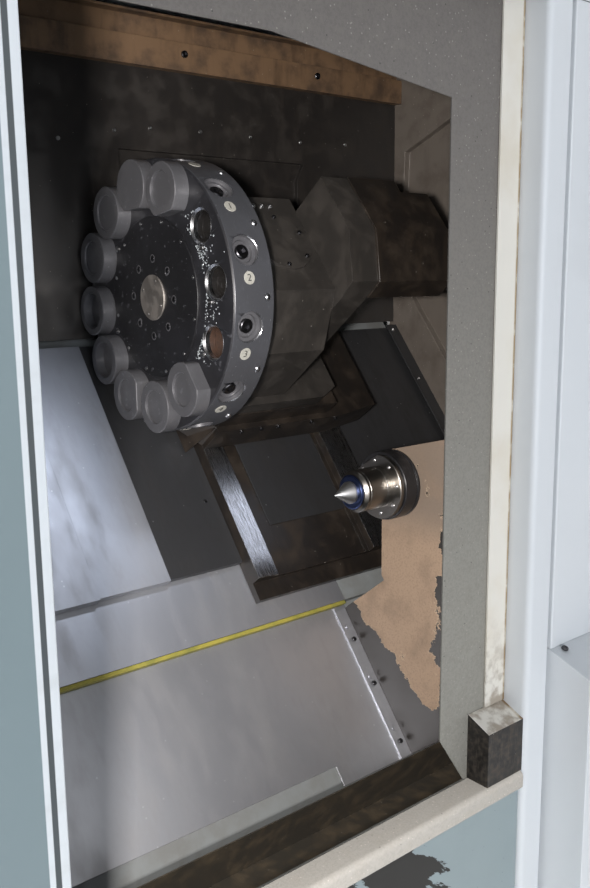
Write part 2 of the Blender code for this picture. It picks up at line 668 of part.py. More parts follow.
def make_rail():
    front, back = DOOR_FRONT_Y, PANEL_FRONT_Y - GAP
    low, high = DOOR_HIGH_Z + GAP, DOOR_HIGH_Z + GAP + RAIL_HEIGHT
    outline = [(front, low), (back, low), (back, high), (front + RAIL_LIP, high), (front, high - RAIL_LIP)]
    extruded("door_rail", outline, DOOR_RIGHT - DOOR_WIDTH, RAIL_RIGHT, "X", finish="white")


make_door()
make_handle()
make_rail()

# Headstock, spindle and chuck
HEAD_RIGHT = WORK_LEFT - SHEET - 2 * GAP
HEAD_LOW_Y = -0.12
HEAD_HIGH_Y = 0.575
HEAD_TOP_Z = 0.16
HEAD_BEVEL = 0.10
HEAD_BACK_Z = -0.06
SHAFT_RADIUS = 0.075
BORE_RADIUS = 0.034
SHAFT_CLEARANCE = 0.0005
CYLINDER_RADIUS = 0.085
NOSE_RADIUS = 0.105
CHUCK_LEFT = -0.40
CHUCK_RIGHT = -0.305
CHUCK_RADIUS = 0.125
CHUCK_EDGE = 0.006
JAW_COUNT = 3
JAW_WIDTH = 0.045
JAW_INNER = 0.042
JAW_OUTER = 0.118
JAW_HEIGHT = 0.052
JAW_STEP = 0.026
JAW_SLOT_DEPTH = 0.010
JAW_SLOT_WIDTH = 0.020
GUARD_SPINDLE_RADIUS = 0.13
GUARD_MOTOR_RADIUS = 0.10
MOTOR_INSET = 0.18
MOTOR_Y = HALF_DEPTH - MOTOR_INSET
MOTOR_Z = 0.50
MOTOR_RADIUS = 0.13
MOTOR_LENGTH = 0.38
MOTOR_FOOT_HALF = 0.10


def make_headstock():
    seat = MIDDLE_SHEET_Z - SHEET
    outline = [
        (HEAD_LOW_Y, seat), (HEAD_HIGH_Y, seat), (HEAD_HIGH_Y, HEAD_BACK_Z - HEAD_BEVEL),
        (HEAD_HIGH_Y - HEAD_BEVEL, HEAD_BACK_Z), (HEAD_BEVEL * 2, HEAD_BACK_Z), (HEAD_BEVEL * 1.6, HEAD_TOP_Z - HEAD_BEVEL),
        (HEAD_BEVEL, HEAD_TOP_Z), (-HEAD_BEVEL * 0.6, HEAD_TOP_Z), (HEAD_LOW_Y, HEAD_TOP_Z - HEAD_BEVEL)]
    head = extruded("headstock", outline, HEAD_LEFT, HEAD_RIGHT, "X", bed_frame, "casting")
    bore = rods("head_bore", [((HEAD_LEFT - OVERRUN, 0.0, 0.0), (HEAD_RIGHT + OVERRUN, 0.0, 0.0),
                SHAFT_RADIUS + SHAFT_CLEARANCE)], spindle_frame, steps=FINE_STEPS)
    cut(head, bore)


def make_spindle():
    nose = CHUCK_LEFT - GAP
    profile = [
        (nose, BORE_RADIUS), (nose, NOSE_RADIUS), (HEAD_RIGHT + GAP, NOSE_RADIUS), (HEAD_RIGHT + GAP, SHAFT_RADIUS),
        (CYLINDER_RIGHT, SHAFT_RADIUS), (CYLINDER_RIGHT, CYLINDER_RADIUS), (SHAFT_LEFT, CYLINDER_RADIUS),
        (SHAFT_LEFT, BORE_RADIUS)]
    turned("spindle_shaft", profile, spindle_frame, "ground", FINE_STEPS, closed=True)
    profile = [
        (CHUCK_RIGHT, BORE_RADIUS), (CHUCK_RIGHT, CHUCK_RADIUS - CHUCK_EDGE), (CHUCK_RIGHT - CHUCK_EDGE, CHUCK_RADIUS),
        (CHUCK_LEFT + CHUCK_EDGE, CHUCK_RADIUS), (CHUCK_LEFT, CHUCK_RADIUS - CHUCK_EDGE), (CHUCK_LEFT, BORE_RADIUS)]
    chuck = turned("chuck_body", profile, spindle_frame, "steel", FINE_STEPS, closed=True)
    for index in range(JAW_COUNT):
        angle = 2 * math.pi * index / JAW_COUNT + math.pi / 2
        jaw_frame = bpy.data.objects.new(f"jaw_{index + 1}_guide", None)
        parts.objects.link(jaw_frame)
        jaw_frame.empty_display_size = GAP
        jaw_frame.parent = spindle_frame
        jaw_frame.rotation_euler = (angle, 0.0, 0.0)
        half = JAW_SLOT_WIDTH / 2
        slot = block(f"jaw_slot_{index + 1}", (CHUCK_RIGHT - JAW_SLOT_DEPTH, BORE_RADIUS - OVERRUN, -half),
                     (CHUCK_RIGHT + OVERRUN, CHUCK_RADIUS + OVERRUN, half), jaw_frame)
        cut(chuck, slot)
        face = CHUCK_RIGHT + GAP
        tongue = CHUCK_RIGHT - JAW_SLOT_DEPTH + GAP
        narrow = half - GAP
        wide = JAW_WIDTH / 2
        jaw = block(f"chuck_jaw_{index + 1}", (face, JAW_INNER, -wide), (face + JAW_HEIGHT / 2, JAW_OUTER, wide),
                    jaw_frame, "ground")
        fuse(jaw, block(f"jaw_step_{index + 1}", (face + JAW_HEIGHT / 2 - BITE, JAW_INNER + JAW_STEP / 2, -wide),
                        (face + JAW_HEIGHT, JAW_INNER + JAW_STEP * 2, wide), jaw_frame))
        fuse(jaw, block(f"jaw_tongue_{index + 1}", (tongue, JAW_INNER, -narrow), (face + BITE, JAW_OUTER, narrow),
                        jaw_frame))


def make_drive():
    motor_point = Vector((MOTOR_Y, MOTOR_Z))
    spindle_point = Vector((SPINDLE_Y, SPINDLE_Z))
    run = motor_point - spindle_point
    lean = math.atan2(run.y, run.x)
    spread = math.acos((GUARD_SPINDLE_RADIUS - GUARD_MOTOR_RADIUS) / run.length)
    start, end = math.degrees(lean + spread), math.degrees(lean - spread)
    outline = arc(spindle_point, GUARD_SPINDLE_RADIUS, start, end + 360, 18)
    outline += arc(motor_point, GUARD_MOTOR_RADIUS, end, start, 14)
    guard = extruded("belt_guard", outline, GUARD_LEFT, GUARD_RIGHT, "X", finish="casting")
    cut(guard, rods("guard_hole", [((GUARD_LEFT - OVERRUN, 0.0, 0.0), (GUARD_RIGHT + OVERRUN, 0.0, 0.0),
                    SHAFT_RADIUS + SHAFT_CLEARANCE)], spindle_frame, steps=FINE_STEPS))
    left = GUARD_RIGHT + GAP
    motor = rods("spindle_motor", [((left, MOTOR_Y, MOTOR_Z), (left + MOTOR_LENGTH, MOTOR_Y, MOTOR_Z), MOTOR_RADIUS)],
                 None, "dark", ROUND_STEPS)
    foot = block("motor_foot", (left + MOTOR_FOOT_HALF / 2, MOTOR_Y - MOTOR_FOOT_HALF, BASE_HIGH_Z + GAP),
                 (left + MOTOR_LENGTH - MOTOR_FOOT_HALF / 2, MOTOR_Y + MOTOR_FOOT_HALF, MOTOR_Z - MOTOR_RADIUS / 2))
    fuse(motor, foot)


make_headstock()
make_spindle()
make_drive()

# Carriage: saddle with box ways, and its way covers
SADDLE_LEFT = 0.300
SADDLE_RIGHT = 0.690
LEFT_WAY = ((0.300, -0.240), (0.327, -0.240), (0.329, -0.246), (0.343, -0.246), (0.345, -0.252), (0.358, -0.252),
            (0.360, -0.256), (0.390, -0.256))
RIGHT_WAY = ((0.602, -0.256), (0.613, -0.256), (0.615, -0.240), (0.655, -0.240), (0.657, -0.249),
             (SADDLE_RIGHT, -0.249))
APRON_LOW_Y = -0.085
APRON_TOP_Z = -0.2665
SADDLE_SKIRT_Z = MIDDLE_SHEET_Z + 0.0016
COVER_PITCH = COVER_THICKNESS + RUN
FAR_COVER_RIGHT = -0.02
MID_COVER = (-0.06, 0.13)
NEAR_COVER_LEFT = 0.09
RIGHT_COVER_INSET = 0.027
RIGHT_COVER_END = WORK_RIGHT - RIGHT_COVER_INSET
RIGHT_FIXED_OFFSET = 0.025
RIGHT_FIXED_LEFT = SADDLE_RIGHT + RIGHT_FIXED_OFFSET
END_STRIP = 0.036
END_STRIP_RISE = 0.0065


def make_saddle():
    low = BED_WAY_Z + GAP
    step = BED_WAYS_Y[0][0] + GAP * 2
    outline = [
        (SLIDE_LOW_Y, SADDLE_SKIRT_Z), (step, SADDLE_SKIRT_Z), (step, low), (SLIDE_HIGH_Y, low),
        (SLIDE_HIGH_Y, SADDLE_FLOOR_Z), (SLIDE_LOW_Y, SADDLE_FLOOR_Z)]
    saddle = extruded("saddle", outline, SADDLE_LEFT, SADDLE_RIGHT, "X", bed_frame, "dark")
    sink = SADDLE_FLOOR_Z - BITE
    for name, way in (("left_way", LEFT_WAY), ("right_way", RIGHT_WAY)):
        points = [(z, x) for x, z in way] + [(sink, way[-1][0]), (sink, way[0][0])]
        fuse(saddle, extruded(name, points, SLIDE_LOW_Y, SLIDE_HIGH_Y, "Y", bed_frame))
    fuse(saddle, block("saddle_apron", (SADDLE_LEFT, APRON_LOW_Y, SADDLE_SKIRT_Z),
                       (SADDLE_RIGHT, SLIDE_LOW_Y + BITE, APRON_TOP_Z), bed_frame))


def cover(name, left, right, level, frame):
    """A bent way cover: a flat sheet with a lip down its lower edge; level counts plates under the top one."""
    top = COVER_Z - level * COVER_PITCH
    low = COVER_LOW_Y + level * COVER_PITCH
    inside = top - COVER_THICKNESS
    outline = [
        (low, COVER_Z - COVER_LIP), (low + COVER_THICKNESS, COVER_Z - COVER_LIP), (low + COVER_THICKNESS, inside),
        (COVER_HIGH_Y, inside), (COVER_HIGH_Y, top), (low, top)]
    return extruded(name, outline, left, right, "X", frame, "steel")


def make_way_covers():
    cover("way_cover_left_far", WORK_LEFT - SHEET, FAR_COVER_RIGHT, 0, bed_frame)
    cover("way_cover_left_middle", *MID_COVER, 1, bed_frame)
    cover("way_cover_left_near", NEAR_COVER_LEFT, SADDLE_LEFT - GAP, 2, bed_frame)
    cover("way_cover_right_near", SADDLE_RIGHT + GAP, RIGHT_COVER_END, 2, bed_frame)
    end = cover("way_cover_right_fixed", RIGHT_FIXED_LEFT, WORK_RIGHT - GAP, 3, bed_frame)
    top = COVER_Z - 3 * COVER_PITCH
    rim = [(COVER_LOW_Y, top - BITE), (COVER_HIGH_Y, top - BITE), (COVER_HIGH_Y, COVER_Z + END_STRIP_RISE),
           (COVER_LOW_Y, COVER_Z + END_STRIP_RISE)]
    fuse(end, extruded("end_strip_web", rim, WORK_RIGHT - GAP - COVER_LIP, WORK_RIGHT - GAP, "X", bed_frame))
    lid = [(COVER_LOW_Y, COVER_Z + END_STRIP_RISE - SHEET), (COVER_HIGH_Y, COVER_Z + END_STRIP_RISE - SHEET),
           (COVER_HIGH_Y, COVER_Z + END_STRIP_RISE), (COVER_LOW_Y, COVER_Z + END_STRIP_RISE)]
    fuse(end, extruded("end_strip_lid", lid, WORK_RIGHT - GAP - END_STRIP, WORK_RIGHT - GAP - BITE, "X", bed_frame))


make_saddle()
make_way_covers()

# Cross slide with its centre cover
PLATE_TOP_Z = -0.170
PLATE_LOW_Y = 0.246
PLATE_HIGH_Y = 0.56
PLATE_CORNER_Y = 0.262
WING_LEFT = 0.258
WING_LEFT_Y = 0.30
WING_CORNER_Y = 0.256
WING_RIGHT = 0.748
RIGHT_CHAMFER_X = 0.635
SKIRT_FOOT_X = 0.272
SKIRT_HIGH_Y = 0.53
RISER_TOP_Z = -0.130
RISER_RIGHT = 0.600
RISER_LOW_Y = 0.258
RISER_HIGH_Y = 0.565
CENTRE_LEFT = 0.3915
CENTRE_RIGHT = 0.6010
CENTRE_LOW_Y = 0.06
CENTRE_HIGH_Y = 0.262
CENTRE_THICKNESS = 0.003


def make_cross_slide():
    low = WAY_Z + GAP
    outline = [
        (SADDLE_LEFT, PLATE_LOW_Y), (RIGHT_CHAMFER_X, PLATE_LOW_Y), (WING_RIGHT, PLATE_CORNER_Y),
        (WING_RIGHT, PLATE_HIGH_Y), (WING_LEFT, PLATE_HIGH_Y), (WING_LEFT, WING_LEFT_Y), (SADDLE_LEFT, WING_CORNER_Y)]
    slide = extruded("cross_slide", outline, low, PLATE_TOP_Z, "Z", bed_frame, "dark")
    skirt = [
        (PLATE_TOP_Z - BITE, SADDLE_LEFT), (COVER_Z + RUN * 2, SKIRT_FOOT_X), (COVER_Z + RUN * 2, SKIRT_FOOT_X - SHEET),
        (PLATE_TOP_Z - BITE, SADDLE_LEFT - SHEET)]
    fuse(slide, extruded("slide_skirt", skirt, WING_CORNER_Y, SKIRT_HIGH_Y, "Y", bed_frame))
    fuse(slide, block("slide_riser", (SADDLE_LEFT, RISER_LOW_Y, PLATE_TOP_Z - BITE),
                      (RISER_RIGHT, RISER_HIGH_Y - GROOVE, RISER_TOP_Z), bed_frame))
    block("centre_cover", (CENTRE_LEFT, CENTRE_LOW_Y, SADDLE_FLOOR_Z + GAP),
          (CENTRE_RIGHT, CENTRE_HIGH_Y, SADDLE_FLOOR_Z + GAP + CENTRE_THICKNESS), bed_frame, "dark")


make_cross_slide()

# Turret
DISC_LEFT = 0.1625
DISC_THICKNESS = 0.0875
DISC_RIGHT = DISC_LEFT + DISC_THICKNESS
DISC_RADIUS = 0.25
DISC_EDGE = 0.0025
STATION_COUNT = 12
STATION_STEP = 360 / STATION_COUNT
STATION_FIRST = 180 + math.degrees(SLANT)
STATION_RADIUS = 0.199
OPEN_STATIONS = (9, 10, 11)
BORED_PLUGS = (3, 4)
BORE_STATION_RADIUS = 0.0275
BORE_MOUTH = 0.0020
BORE_STATION_DEPTH = 0.062
PLUG_RADIUS = 0.049
PLUG_THICKNESS = 0.028
PLUG_FLAT = 0.040
PLUG_RECESS_RADIUS = 0.033
PLUG_RECESS_DEPTH = 0.004
PLUG_BORE_RADIUS = 0.024
PLUG_BORE_DEPTH = 0.020
PLUG_TURNS = (140, 20, 0, 60, 200, 300, 250, 180, 40)
SOCKET_X = 0.0345
SOCKET_LAG = 11
SOCKET_RADIUS = 0.0270
SOCKET_DEPTH = 0.007
SOCKET_PLUG_RADIUS = 0.019
SOCKET_PLUG_DEPTH = 0.010
NOZZLE_X = 0.0700
NOZZLE_LEAD = 7.5
NOZZLE_RADIUS = 0.0075
NOZZLE_DEPTH = 0.004
CLAMP_LEAD = 9.8
CLAMP_RADIUS = 0.183
CLAMP_HOLE_RADIUS = 0.006
CLAMP_HOLE_DEPTH = 0.004
FACE_COVER_RADIUS = 0.1476
FACE_COVER_RISE = 0.004
HUB_RADIUS = 0.042
HUB_RISE = 0.003
HUB_BOLTS = 8
HUB_BOLT_CIRCLE = 0.0717
HUB_BOLT_RADIUS = 0.0065
HUB_BOLT_DEPTH = 0.0025
TURRET_SHAFT_RADIUS = 0.085
HOUSING_LEFT = 0.262
HOUSING_RIGHT = 0.440
HOUSING_SECTION = (
    (-0.180, -0.100), (0.120, -0.100), (0.160, -0.040), (0.160, 0.090), (0.110, 0.160), (-0.110, 0.160),
    (-0.180, 0.060))
FOOT_LOW_S = -0.197
FOOT_RIGHT = 0.585
FOOT_CUT = 0.045
FOOT_HIGH_S = 0.120
SIDE_BLOCK_RIGHT = 0.505
SIDE_BLOCK_SECTION = ((-0.134, -0.100), (0.078, -0.100), (0.078, 0.257), (-0.046, 0.257), (-0.129, 0.206), (-0.134, 0.160))
BOSS_X = 0.36
BOSS_RADIUS = 0.065
BOSS_RISE = 0.006
MOTOR_COVER_RIGHT = 0.710
MOTOR_COVER_SECTION = ((-0.137, 0.163), (0.080, 0.163), (0.080, 0.260), (-0.049, 0.260), (-0.132, 0.209))
MOTOR_COVER_STEP_X = 0.633
MOTOR_COVER_STEP_S = 0.050


def station_angle(index):
    return math.radians(STATION_FIRST + STATION_STEP * index)


def around(x, radius, angle):
    """A point at a radius and an angle about the turret axis."""
    return (x, radius * math.cos(angle), radius * math.sin(angle))


def make_turret_disc():
    neck = HOUSING_LEFT - GAP
    profile = [
        (neck, 0.0), (neck, TURRET_SHAFT_RADIUS), (DISC_RIGHT, TURRET_SHAFT_RADIUS),
        (DISC_RIGHT, DISC_RADIUS - DISC_EDGE), (DISC_RIGHT - DISC_EDGE, DISC_RADIUS),
        (DISC_LEFT + DISC_EDGE, DISC_RADIUS), (DISC_LEFT, DISC_RADIUS - DISC_EDGE), (DISC_LEFT, 0.0)]
    disc = turned("turret_disc", profile, turret_frame, "black_oxide", FINE_STEPS)
    lag, lead, clamp_lead = math.radians(SOCKET_LAG), math.radians(NOZZLE_LEAD), math.radians(CLAMP_LEAD)
    wide, deep, nozzles = [], [], []
    for index in range(STATION_COUNT):
        angle = station_angle(index)
        x = DISC_LEFT + SOCKET_X
        outer = DISC_RADIUS + OVERRUN
        wide.append((around(x, DISC_RADIUS - SOCKET_DEPTH, angle - lag), around(x, outer, angle - lag), SOCKET_RADIUS))
        deep.append((around(x, DISC_RADIUS - SOCKET_DEPTH - SOCKET_PLUG_DEPTH, angle - lag),
                     around(x, outer, angle - lag), SOCKET_PLUG_RADIUS))
        x = DISC_LEFT + NOZZLE_X
        nozzles.append((around(x, DISC_RADIUS - NOZZLE_DEPTH, angle + lead), around(x, outer, angle + lead),
                        NOZZLE_RADIUS))
    cut(disc, rods("rim_sockets", wide, turret_frame, steps=HOLE_STEPS))
    cut(disc, rods("rim_plugs", deep, turret_frame, steps=HOLE_STEPS))
    cut(disc, rods("rim_nozzles", nozzles, turret_frame, steps=HOLE_STEPS // 2))
    bores, mouths, clamps = [], [], []
    for index in OPEN_STATIONS:
        angle = station_angle(index)
        front = around(DISC_LEFT - OVERRUN, STATION_RADIUS, angle)
        bores.append((front, around(DISC_LEFT + BORE_STATION_DEPTH, STATION_RADIUS, angle), BORE_STATION_RADIUS))
        mouths.append((around(DISC_LEFT - BORE_MOUTH, STATION_RADIUS, angle),
                       around(DISC_LEFT + BORE_MOUTH, STATION_RADIUS, angle),
                       BORE_STATION_RADIUS + BORE_MOUTH * 2, BORE_STATION_RADIUS - BITE))
        clamp = angle + clamp_lead
        clamps.append((around(DISC_LEFT - OVERRUN, CLAMP_RADIUS, clamp),
                       around(DISC_LEFT + CLAMP_HOLE_DEPTH, CLAMP_RADIUS, clamp), CLAMP_HOLE_RADIUS))
    cut(disc, rods("tool_bores", bores, turret_frame, steps=HOLE_STEPS))
    cut(disc, place("bore_mouths", rods_mesh("bore_mouths", mouths, HOLE_STEPS), turret_frame, None))
    cut(disc, rods("clamp_holes", clamps, turret_frame, steps=HOLE_STEPS // 2))
    return disc


def make_plugs(disc):
    """Closing plugs on the unused stations: round pads with one flat, fixed to the disc."""
    flat_half = math.degrees(math.acos(PLUG_FLAT / PLUG_RADIUS))
    recesses, holes = [], []
    closed = [index for index in range(STATION_COUNT) if index not in OPEN_STATIONS]
    for index, turn in zip(closed, PLUG_TURNS):
        angle = station_angle(index)
        centre = around(0.0, STATION_RADIUS, angle)[1:]
        outline = arc(centre, PLUG_RADIUS, turn + flat_half, turn + 360 - flat_half, HOLE_STEPS)
        fuse(disc, extruded(f"plug_{index}", outline, DISC_LEFT - PLUG_THICKNESS, DISC_LEFT + BITE, "X", turret_frame))
        front = around(DISC_LEFT - PLUG_THICKNESS - OVERRUN, STATION_RADIUS, angle)
        if index in BORED_PLUGS:
            floor = around(DISC_LEFT - PLUG_THICKNESS + PLUG_BORE_DEPTH, STATION_RADIUS, angle)
            holes.append((front, floor, PLUG_BORE_RADIUS))
        else:
            floor = around(DISC_LEFT - PLUG_THICKNESS + PLUG_RECESS_DEPTH, STATION_RADIUS, angle)
            recesses.append((front, floor, PLUG_RECESS_RADIUS))
    cut(disc, rods("plug_recesses", recesses, turret_frame))
    cut(disc, rods("plug_holes", holes, turret_frame))


def make_face_cover():
    right = DISC_LEFT - GAP
    left = right - FACE_COVER_RISE
    profile = [
        (right, 0.0), (right, FACE_COVER_RADIUS), (left, FACE_COVER_RADIUS), (left, HUB_RADIUS),
        (left - HUB_RISE, HUB_RADIUS), (left - HUB_RISE, 0.0)]
    plate = turned("turret_face_cover", profile, turret_frame, "black_oxide", FINE_STEPS)
    holes = []
    for index in range(HUB_BOLTS):
        angle = 2 * math.pi * index / HUB_BOLTS
        holes.append((around(left - OVERRUN, HUB_BOLT_CIRCLE, angle),
                      around(left + HUB_BOLT_DEPTH, HUB_BOLT_CIRCLE, angle), HUB_BOLT_RADIUS))
    cut(plate, rods("hub_bolts", holes, turret_frame, steps=HOLE_STEPS // 2))


def make_housing():
    outline = [(TURRET_Y + s, z) for s, z in HOUSING_SECTION]
    housing = extruded("turret_housing", outline, HOUSING_LEFT, HOUSING_RIGHT, "X", bed_frame, "casting")
    low = RISER_TOP_Z + GAP
    foot_low, foot_high = TURRET_Y + FOOT_LOW_S, TURRET_Y + FOOT_HIGH_S
    foot = [
        (SADDLE_LEFT, foot_low), (FOOT_RIGHT - FOOT_CUT, foot_low), (FOOT_RIGHT, foot_low + FOOT_CUT / 2),
        (FOOT_RIGHT, foot_high), (SADDLE_LEFT, foot_high)]
    fuse(housing, extruded("housing_foot", foot, low, HOUSING_SECTION[0][1] + BITE, "Z", bed_frame))
    side = [(TURRET_Y + s, z) for s, z in SIDE_BLOCK_SECTION]
    fuse(housing, extruded("housing_side", side, HOUSING_RIGHT - BITE, SIDE_BLOCK_RIGHT, "X", bed_frame))
    face = HOUSING_SECTION[4][1]
    fuse(housing, rods("housing_boss", [((BOSS_X, TURRET_Y, face - BITE), (BOSS_X, TURRET_Y, face + BOSS_RISE),
                       BOSS_RADIUS)], bed_frame, steps=ROUND_STEPS))


def make_motor_cover():
    left = SIDE_BLOCK_RIGHT + GAP
    outline = [(TURRET_Y + s, z) for s, z in MOTOR_COVER_SECTION]
    cover_body = extruded("turret_motor_cover", outline, left, MOTOR_COVER_RIGHT, "X", bed_frame, "dark")
    (_, low), (high, _), (_, top) = MOTOR_COVER_SECTION[:3]
    step = block("cover_step", (MOTOR_COVER_STEP_X, TURRET_Y + MOTOR_COVER_STEP_S, low - OVERRUN),
                 (MOTOR_COVER_RIGHT + OVERRUN, TURRET_Y + high + OVERRUN, top + OVERRUN), bed_frame)
    cut(cover_body, step)


turret_disc = make_turret_disc()
make_plugs(turret_disc)
make_face_cover()
make_housing()
make_motor_cover()

# Tailstock, quill and live centre
TAIL_INSET = 0.197
TAIL_RIGHT = WORK_RIGHT - TAIL_INSET
TAIL_SEAT_Z = LOWER_SHEET_Z - SHEET
TAIL_BACK_Y = -0.143
TAIL_WAIST_Z = -0.150
TAIL_BACK = -0.218
TAIL_FRONT = -0.470
TAIL_TOP_BACK = (-0.240, 1.064)
TAIL_TOP_FRONT = (-0.420, 1.112)
TAIL_FRONT_TOP_Z = 1.06
TAIL_HOUSING_Z = 1.035
TAIL_FOOT_Y = -0.463
QUILL_RADIUS = 0.050
QUILL_CLEARANCE = 0.0004
QUILL_INSET = 0.06
QUILL_RIGHT = TAIL_RIGHT - QUILL_INSET
COLLAR_RADIUS = 0.066
COLLAR_LEFT = 0.4765
FLANGE_RADIUS = 0.062
FLANGE_LEFT = 0.466
FLANGE_FLAT = 0.0527
FLANGE_FLAT_ANGLE = 57.6
LIVE_RADIUS = 0.0400
LIVE_FRONT_RADIUS = 0.0330
LIVE_LEFT = 0.396
LIVE_SHOULDER = 0.405
LIVE_BORE_RADIUS = 0.0160
POINT_RADIUS = 0.0155
POINT_TIP = 0.355
POINT_CONE_BASE = 0.380
POINT_SHANK_RIGHT = 0.440
POINT_BASE_RADIUS = 0.021
BODY_BORE_RIGHT = 0.445


def make_tailstock():
    foot = TAIL_FOOT_Y
    bottom_back = bed_point(foot, TAIL_SEAT_Z)
    reach = (bottom_back[0] - TAIL_FRONT) / math.sin(SLANT)
    outline = [
        bottom_back, bed_point(TAIL_BACK_Y, TAIL_SEAT_Z), bed_point(TAIL_BACK_Y, TAIL_WAIST_Z),
        (TAIL_BACK, bed_point(TAIL_BACK_Y, TAIL_WAIST_Z)[1] + GROOVE), (TAIL_BACK, TAIL_HOUSING_Z), TAIL_TOP_BACK,
        TAIL_TOP_FRONT, (TAIL_FRONT, TAIL_FRONT_TOP_Z), bed_point(foot, TAIL_SEAT_Z + reach)]
    body = extruded("tailstock_body", outline, TAIL_X, TAIL_RIGHT, "X", finish="tan")
    bore = rods("quill_bore", [((TAIL_X - OVERRUN, 0.0, 0.0), (QUILL_RIGHT + OVERRUN, 0.0, 0.0),
                QUILL_RADIUS + QUILL_CLEARANCE)], spindle_frame, steps=FINE_STEPS)
    cut(body, bore)


def make_quill():
    shoulder = TAIL_X - GAP
    profile = [
        (QUILL_RIGHT, 0.0), (QUILL_RIGHT, QUILL_RADIUS), (shoulder, QUILL_RADIUS), (shoulder, COLLAR_RADIUS),
        (COLLAR_LEFT, COLLAR_RADIUS), (COLLAR_LEFT, 0.0)]
    turned("quill", profile, spindle_frame, "dark", FINE_STEPS)


def make_live_centre():
    back = COLLAR_LEFT - GAP
    profile = [
        (back, 0.0), (back, FLANGE_RADIUS), (FLANGE_LEFT, FLANGE_RADIUS), (FLANGE_LEFT, LIVE_RADIUS),
        (LIVE_SHOULDER, LIVE_RADIUS), (LIVE_LEFT, LIVE_FRONT_RADIUS), (LIVE_LEFT, LIVE_BORE_RADIUS),
        (BODY_BORE_RIGHT, LIVE_BORE_RADIUS), (BODY_BORE_RIGHT, 0.0)]
    body = turned("live_centre_body", profile, spindle_frame, "steel", ROUND_STEPS)
    flat_frame = bpy.data.objects.new("flange_flat_guide", None)
    parts.objects.link(flat_frame)
    flat_frame.empty_display_size = GAP
    flat_frame.parent = spindle_frame
    flat_frame.rotation_euler = (math.radians(FLANGE_FLAT_ANGLE), 0.0, 0.0)
    flat = block("flange_flat", (FLANGE_LEFT - OVERRUN, FLANGE_FLAT, -FLANGE_RADIUS),
                 (back + OVERRUN, FLANGE_RADIUS + OVERRUN, FLANGE_RADIUS), flat_frame)
    cut(body, flat)
    profile = [
        (POINT_SHANK_RIGHT, 0.0), (POINT_SHANK_RIGHT, POINT_RADIUS), (LIVE_LEFT - GAP, POINT_RADIUS),
        (LIVE_LEFT - GAP, POINT_BASE_RADIUS), (POINT_CONE_BASE + GROOVE, POINT_BASE_RADIUS), (POINT_TIP, 0.0)]
    turned("live_centre_point", profile, spindle_frame, "ground", ROUND_STEPS)


make_tailstock()
make_quill()
make_live_centre()

# Operator controls
BOX_INSET = 0.12
BOX_RIGHT = HALF_LENGTH - BOX_INSET
BOX_WIDTH = 0.56
BOX_LEFT = BOX_RIGHT - BOX_WIDTH
BOX_LOW_Z = 1.06
BOX_HIGH_Z = 1.62
BOX_FRONT_INSET = 0.02
BOX_FRONT_Y = BOX_FRONT_INSET - HALF_DEPTH
BOX_EDGE = 0.012
SCREEN_SIZE = (0.26, 0.20)
SCREEN_DEPTH = 0.004
SCREEN_OFFSET = 0.10
SCREEN_SPOT = (BOX_LEFT + SCREEN_OFFSET, 1.34)
WHEEL_OFFSET = 0.44
WHEEL_SPOT = (BOX_LEFT + WHEEL_OFFSET, 1.16)
WHEEL_RADIUS = 0.045
WHEEL_THICKNESS = 0.016
WHEEL_GRIP_RADIUS = 0.007
BUTTON_OFFSET = 0.08
BUTTON_SPOT = (BOX_LEFT + BUTTON_OFFSET, 1.16)
BUTTON_RADIUS = 0.020
BUTTON_STEM_RADIUS = 0.011
BUTTON_STEM = 0.008
BUTTON_HEAD = 0.011
BUTTON_STROKE = 0.006
BUTTON_CLEARANCE = 0.0006
KNOB_OFFSET = 0.26
KNOB_SPOT = (BOX_LEFT + KNOB_OFFSET, 1.16)
KNOB_RADIUS = 0.016
KNOB_HEIGHT = 0.019


def make_controls():
    box = block("control_box", (BOX_LEFT, BOX_FRONT_Y, BOX_LOW_Z), (BOX_RIGHT, PANEL_FRONT_Y - GAP, BOX_HIGH_Z),
                finish="white")
    ease(box, BOX_EDGE, 2)
    face = BOX_FRONT_Y - GAP
    x, z = BUTTON_SPOT
    socket = BOX_FRONT_Y + BUTTON_STROKE + BUTTON_CLEARANCE
    cut(box, rods("button_socket", [((x, BOX_FRONT_Y - OVERRUN, z), (x, socket, z),
                  BUTTON_STEM_RADIUS + BUTTON_CLEARANCE)]))
    x, z = SCREEN_SPOT
    block("control_screen", (x, face - SCREEN_DEPTH, z), (x + SCREEN_SIZE[0], face, z + SCREEN_SIZE[1]),
          finish="dark")
    x, z = WHEEL_SPOT
    front = face - WHEEL_THICKNESS
    wheel = rods("handwheel", [((x, face, z), (x, front, z), WHEEL_RADIUS)], None, "dark", ROUND_STEPS)
    grip = z + WHEEL_RADIUS - WHEEL_GRIP_RADIUS * 2
    fuse(wheel, rods("wheel_grip", [((x, front + BITE, grip), (x, -HALF_DEPTH, grip), WHEEL_GRIP_RADIUS)]))
    x, z = BUTTON_SPOT
    stem = face - BUTTON_STEM
    button = rods("emergency_button", [((x, stem, z), (x, stem - BUTTON_HEAD, z), BUTTON_RADIUS)], None, "red")
    fuse(button, rods("button_stem", [((x, face, z), (x, stem - BITE, z), BUTTON_STEM_RADIUS)]))
    x, z = KNOB_SPOT
    rods("mode_knob", [((x, face, z), (x, face - KNOB_HEIGHT, z), KNOB_RADIUS)], None, "dark")


def settle():
    """Fixes each piece's shape and shades it smooth between its crisp edges."""
    graph = bpy.context.evaluated_depsgraph_get()
    ready = []
    for item in parts.objects:
        if item.type == "MESH":
            ready.append((item, bpy.data.meshes.new_from_object(item.evaluated_get(graph))))
    for item, mesh in ready:
        item.modifiers.clear()
        item.data = mesh
        mesh.shade_smooth()
        mesh.set_sharp_from_angle(angle=SMOOTH_ANGLE)


make_controls()
settle()
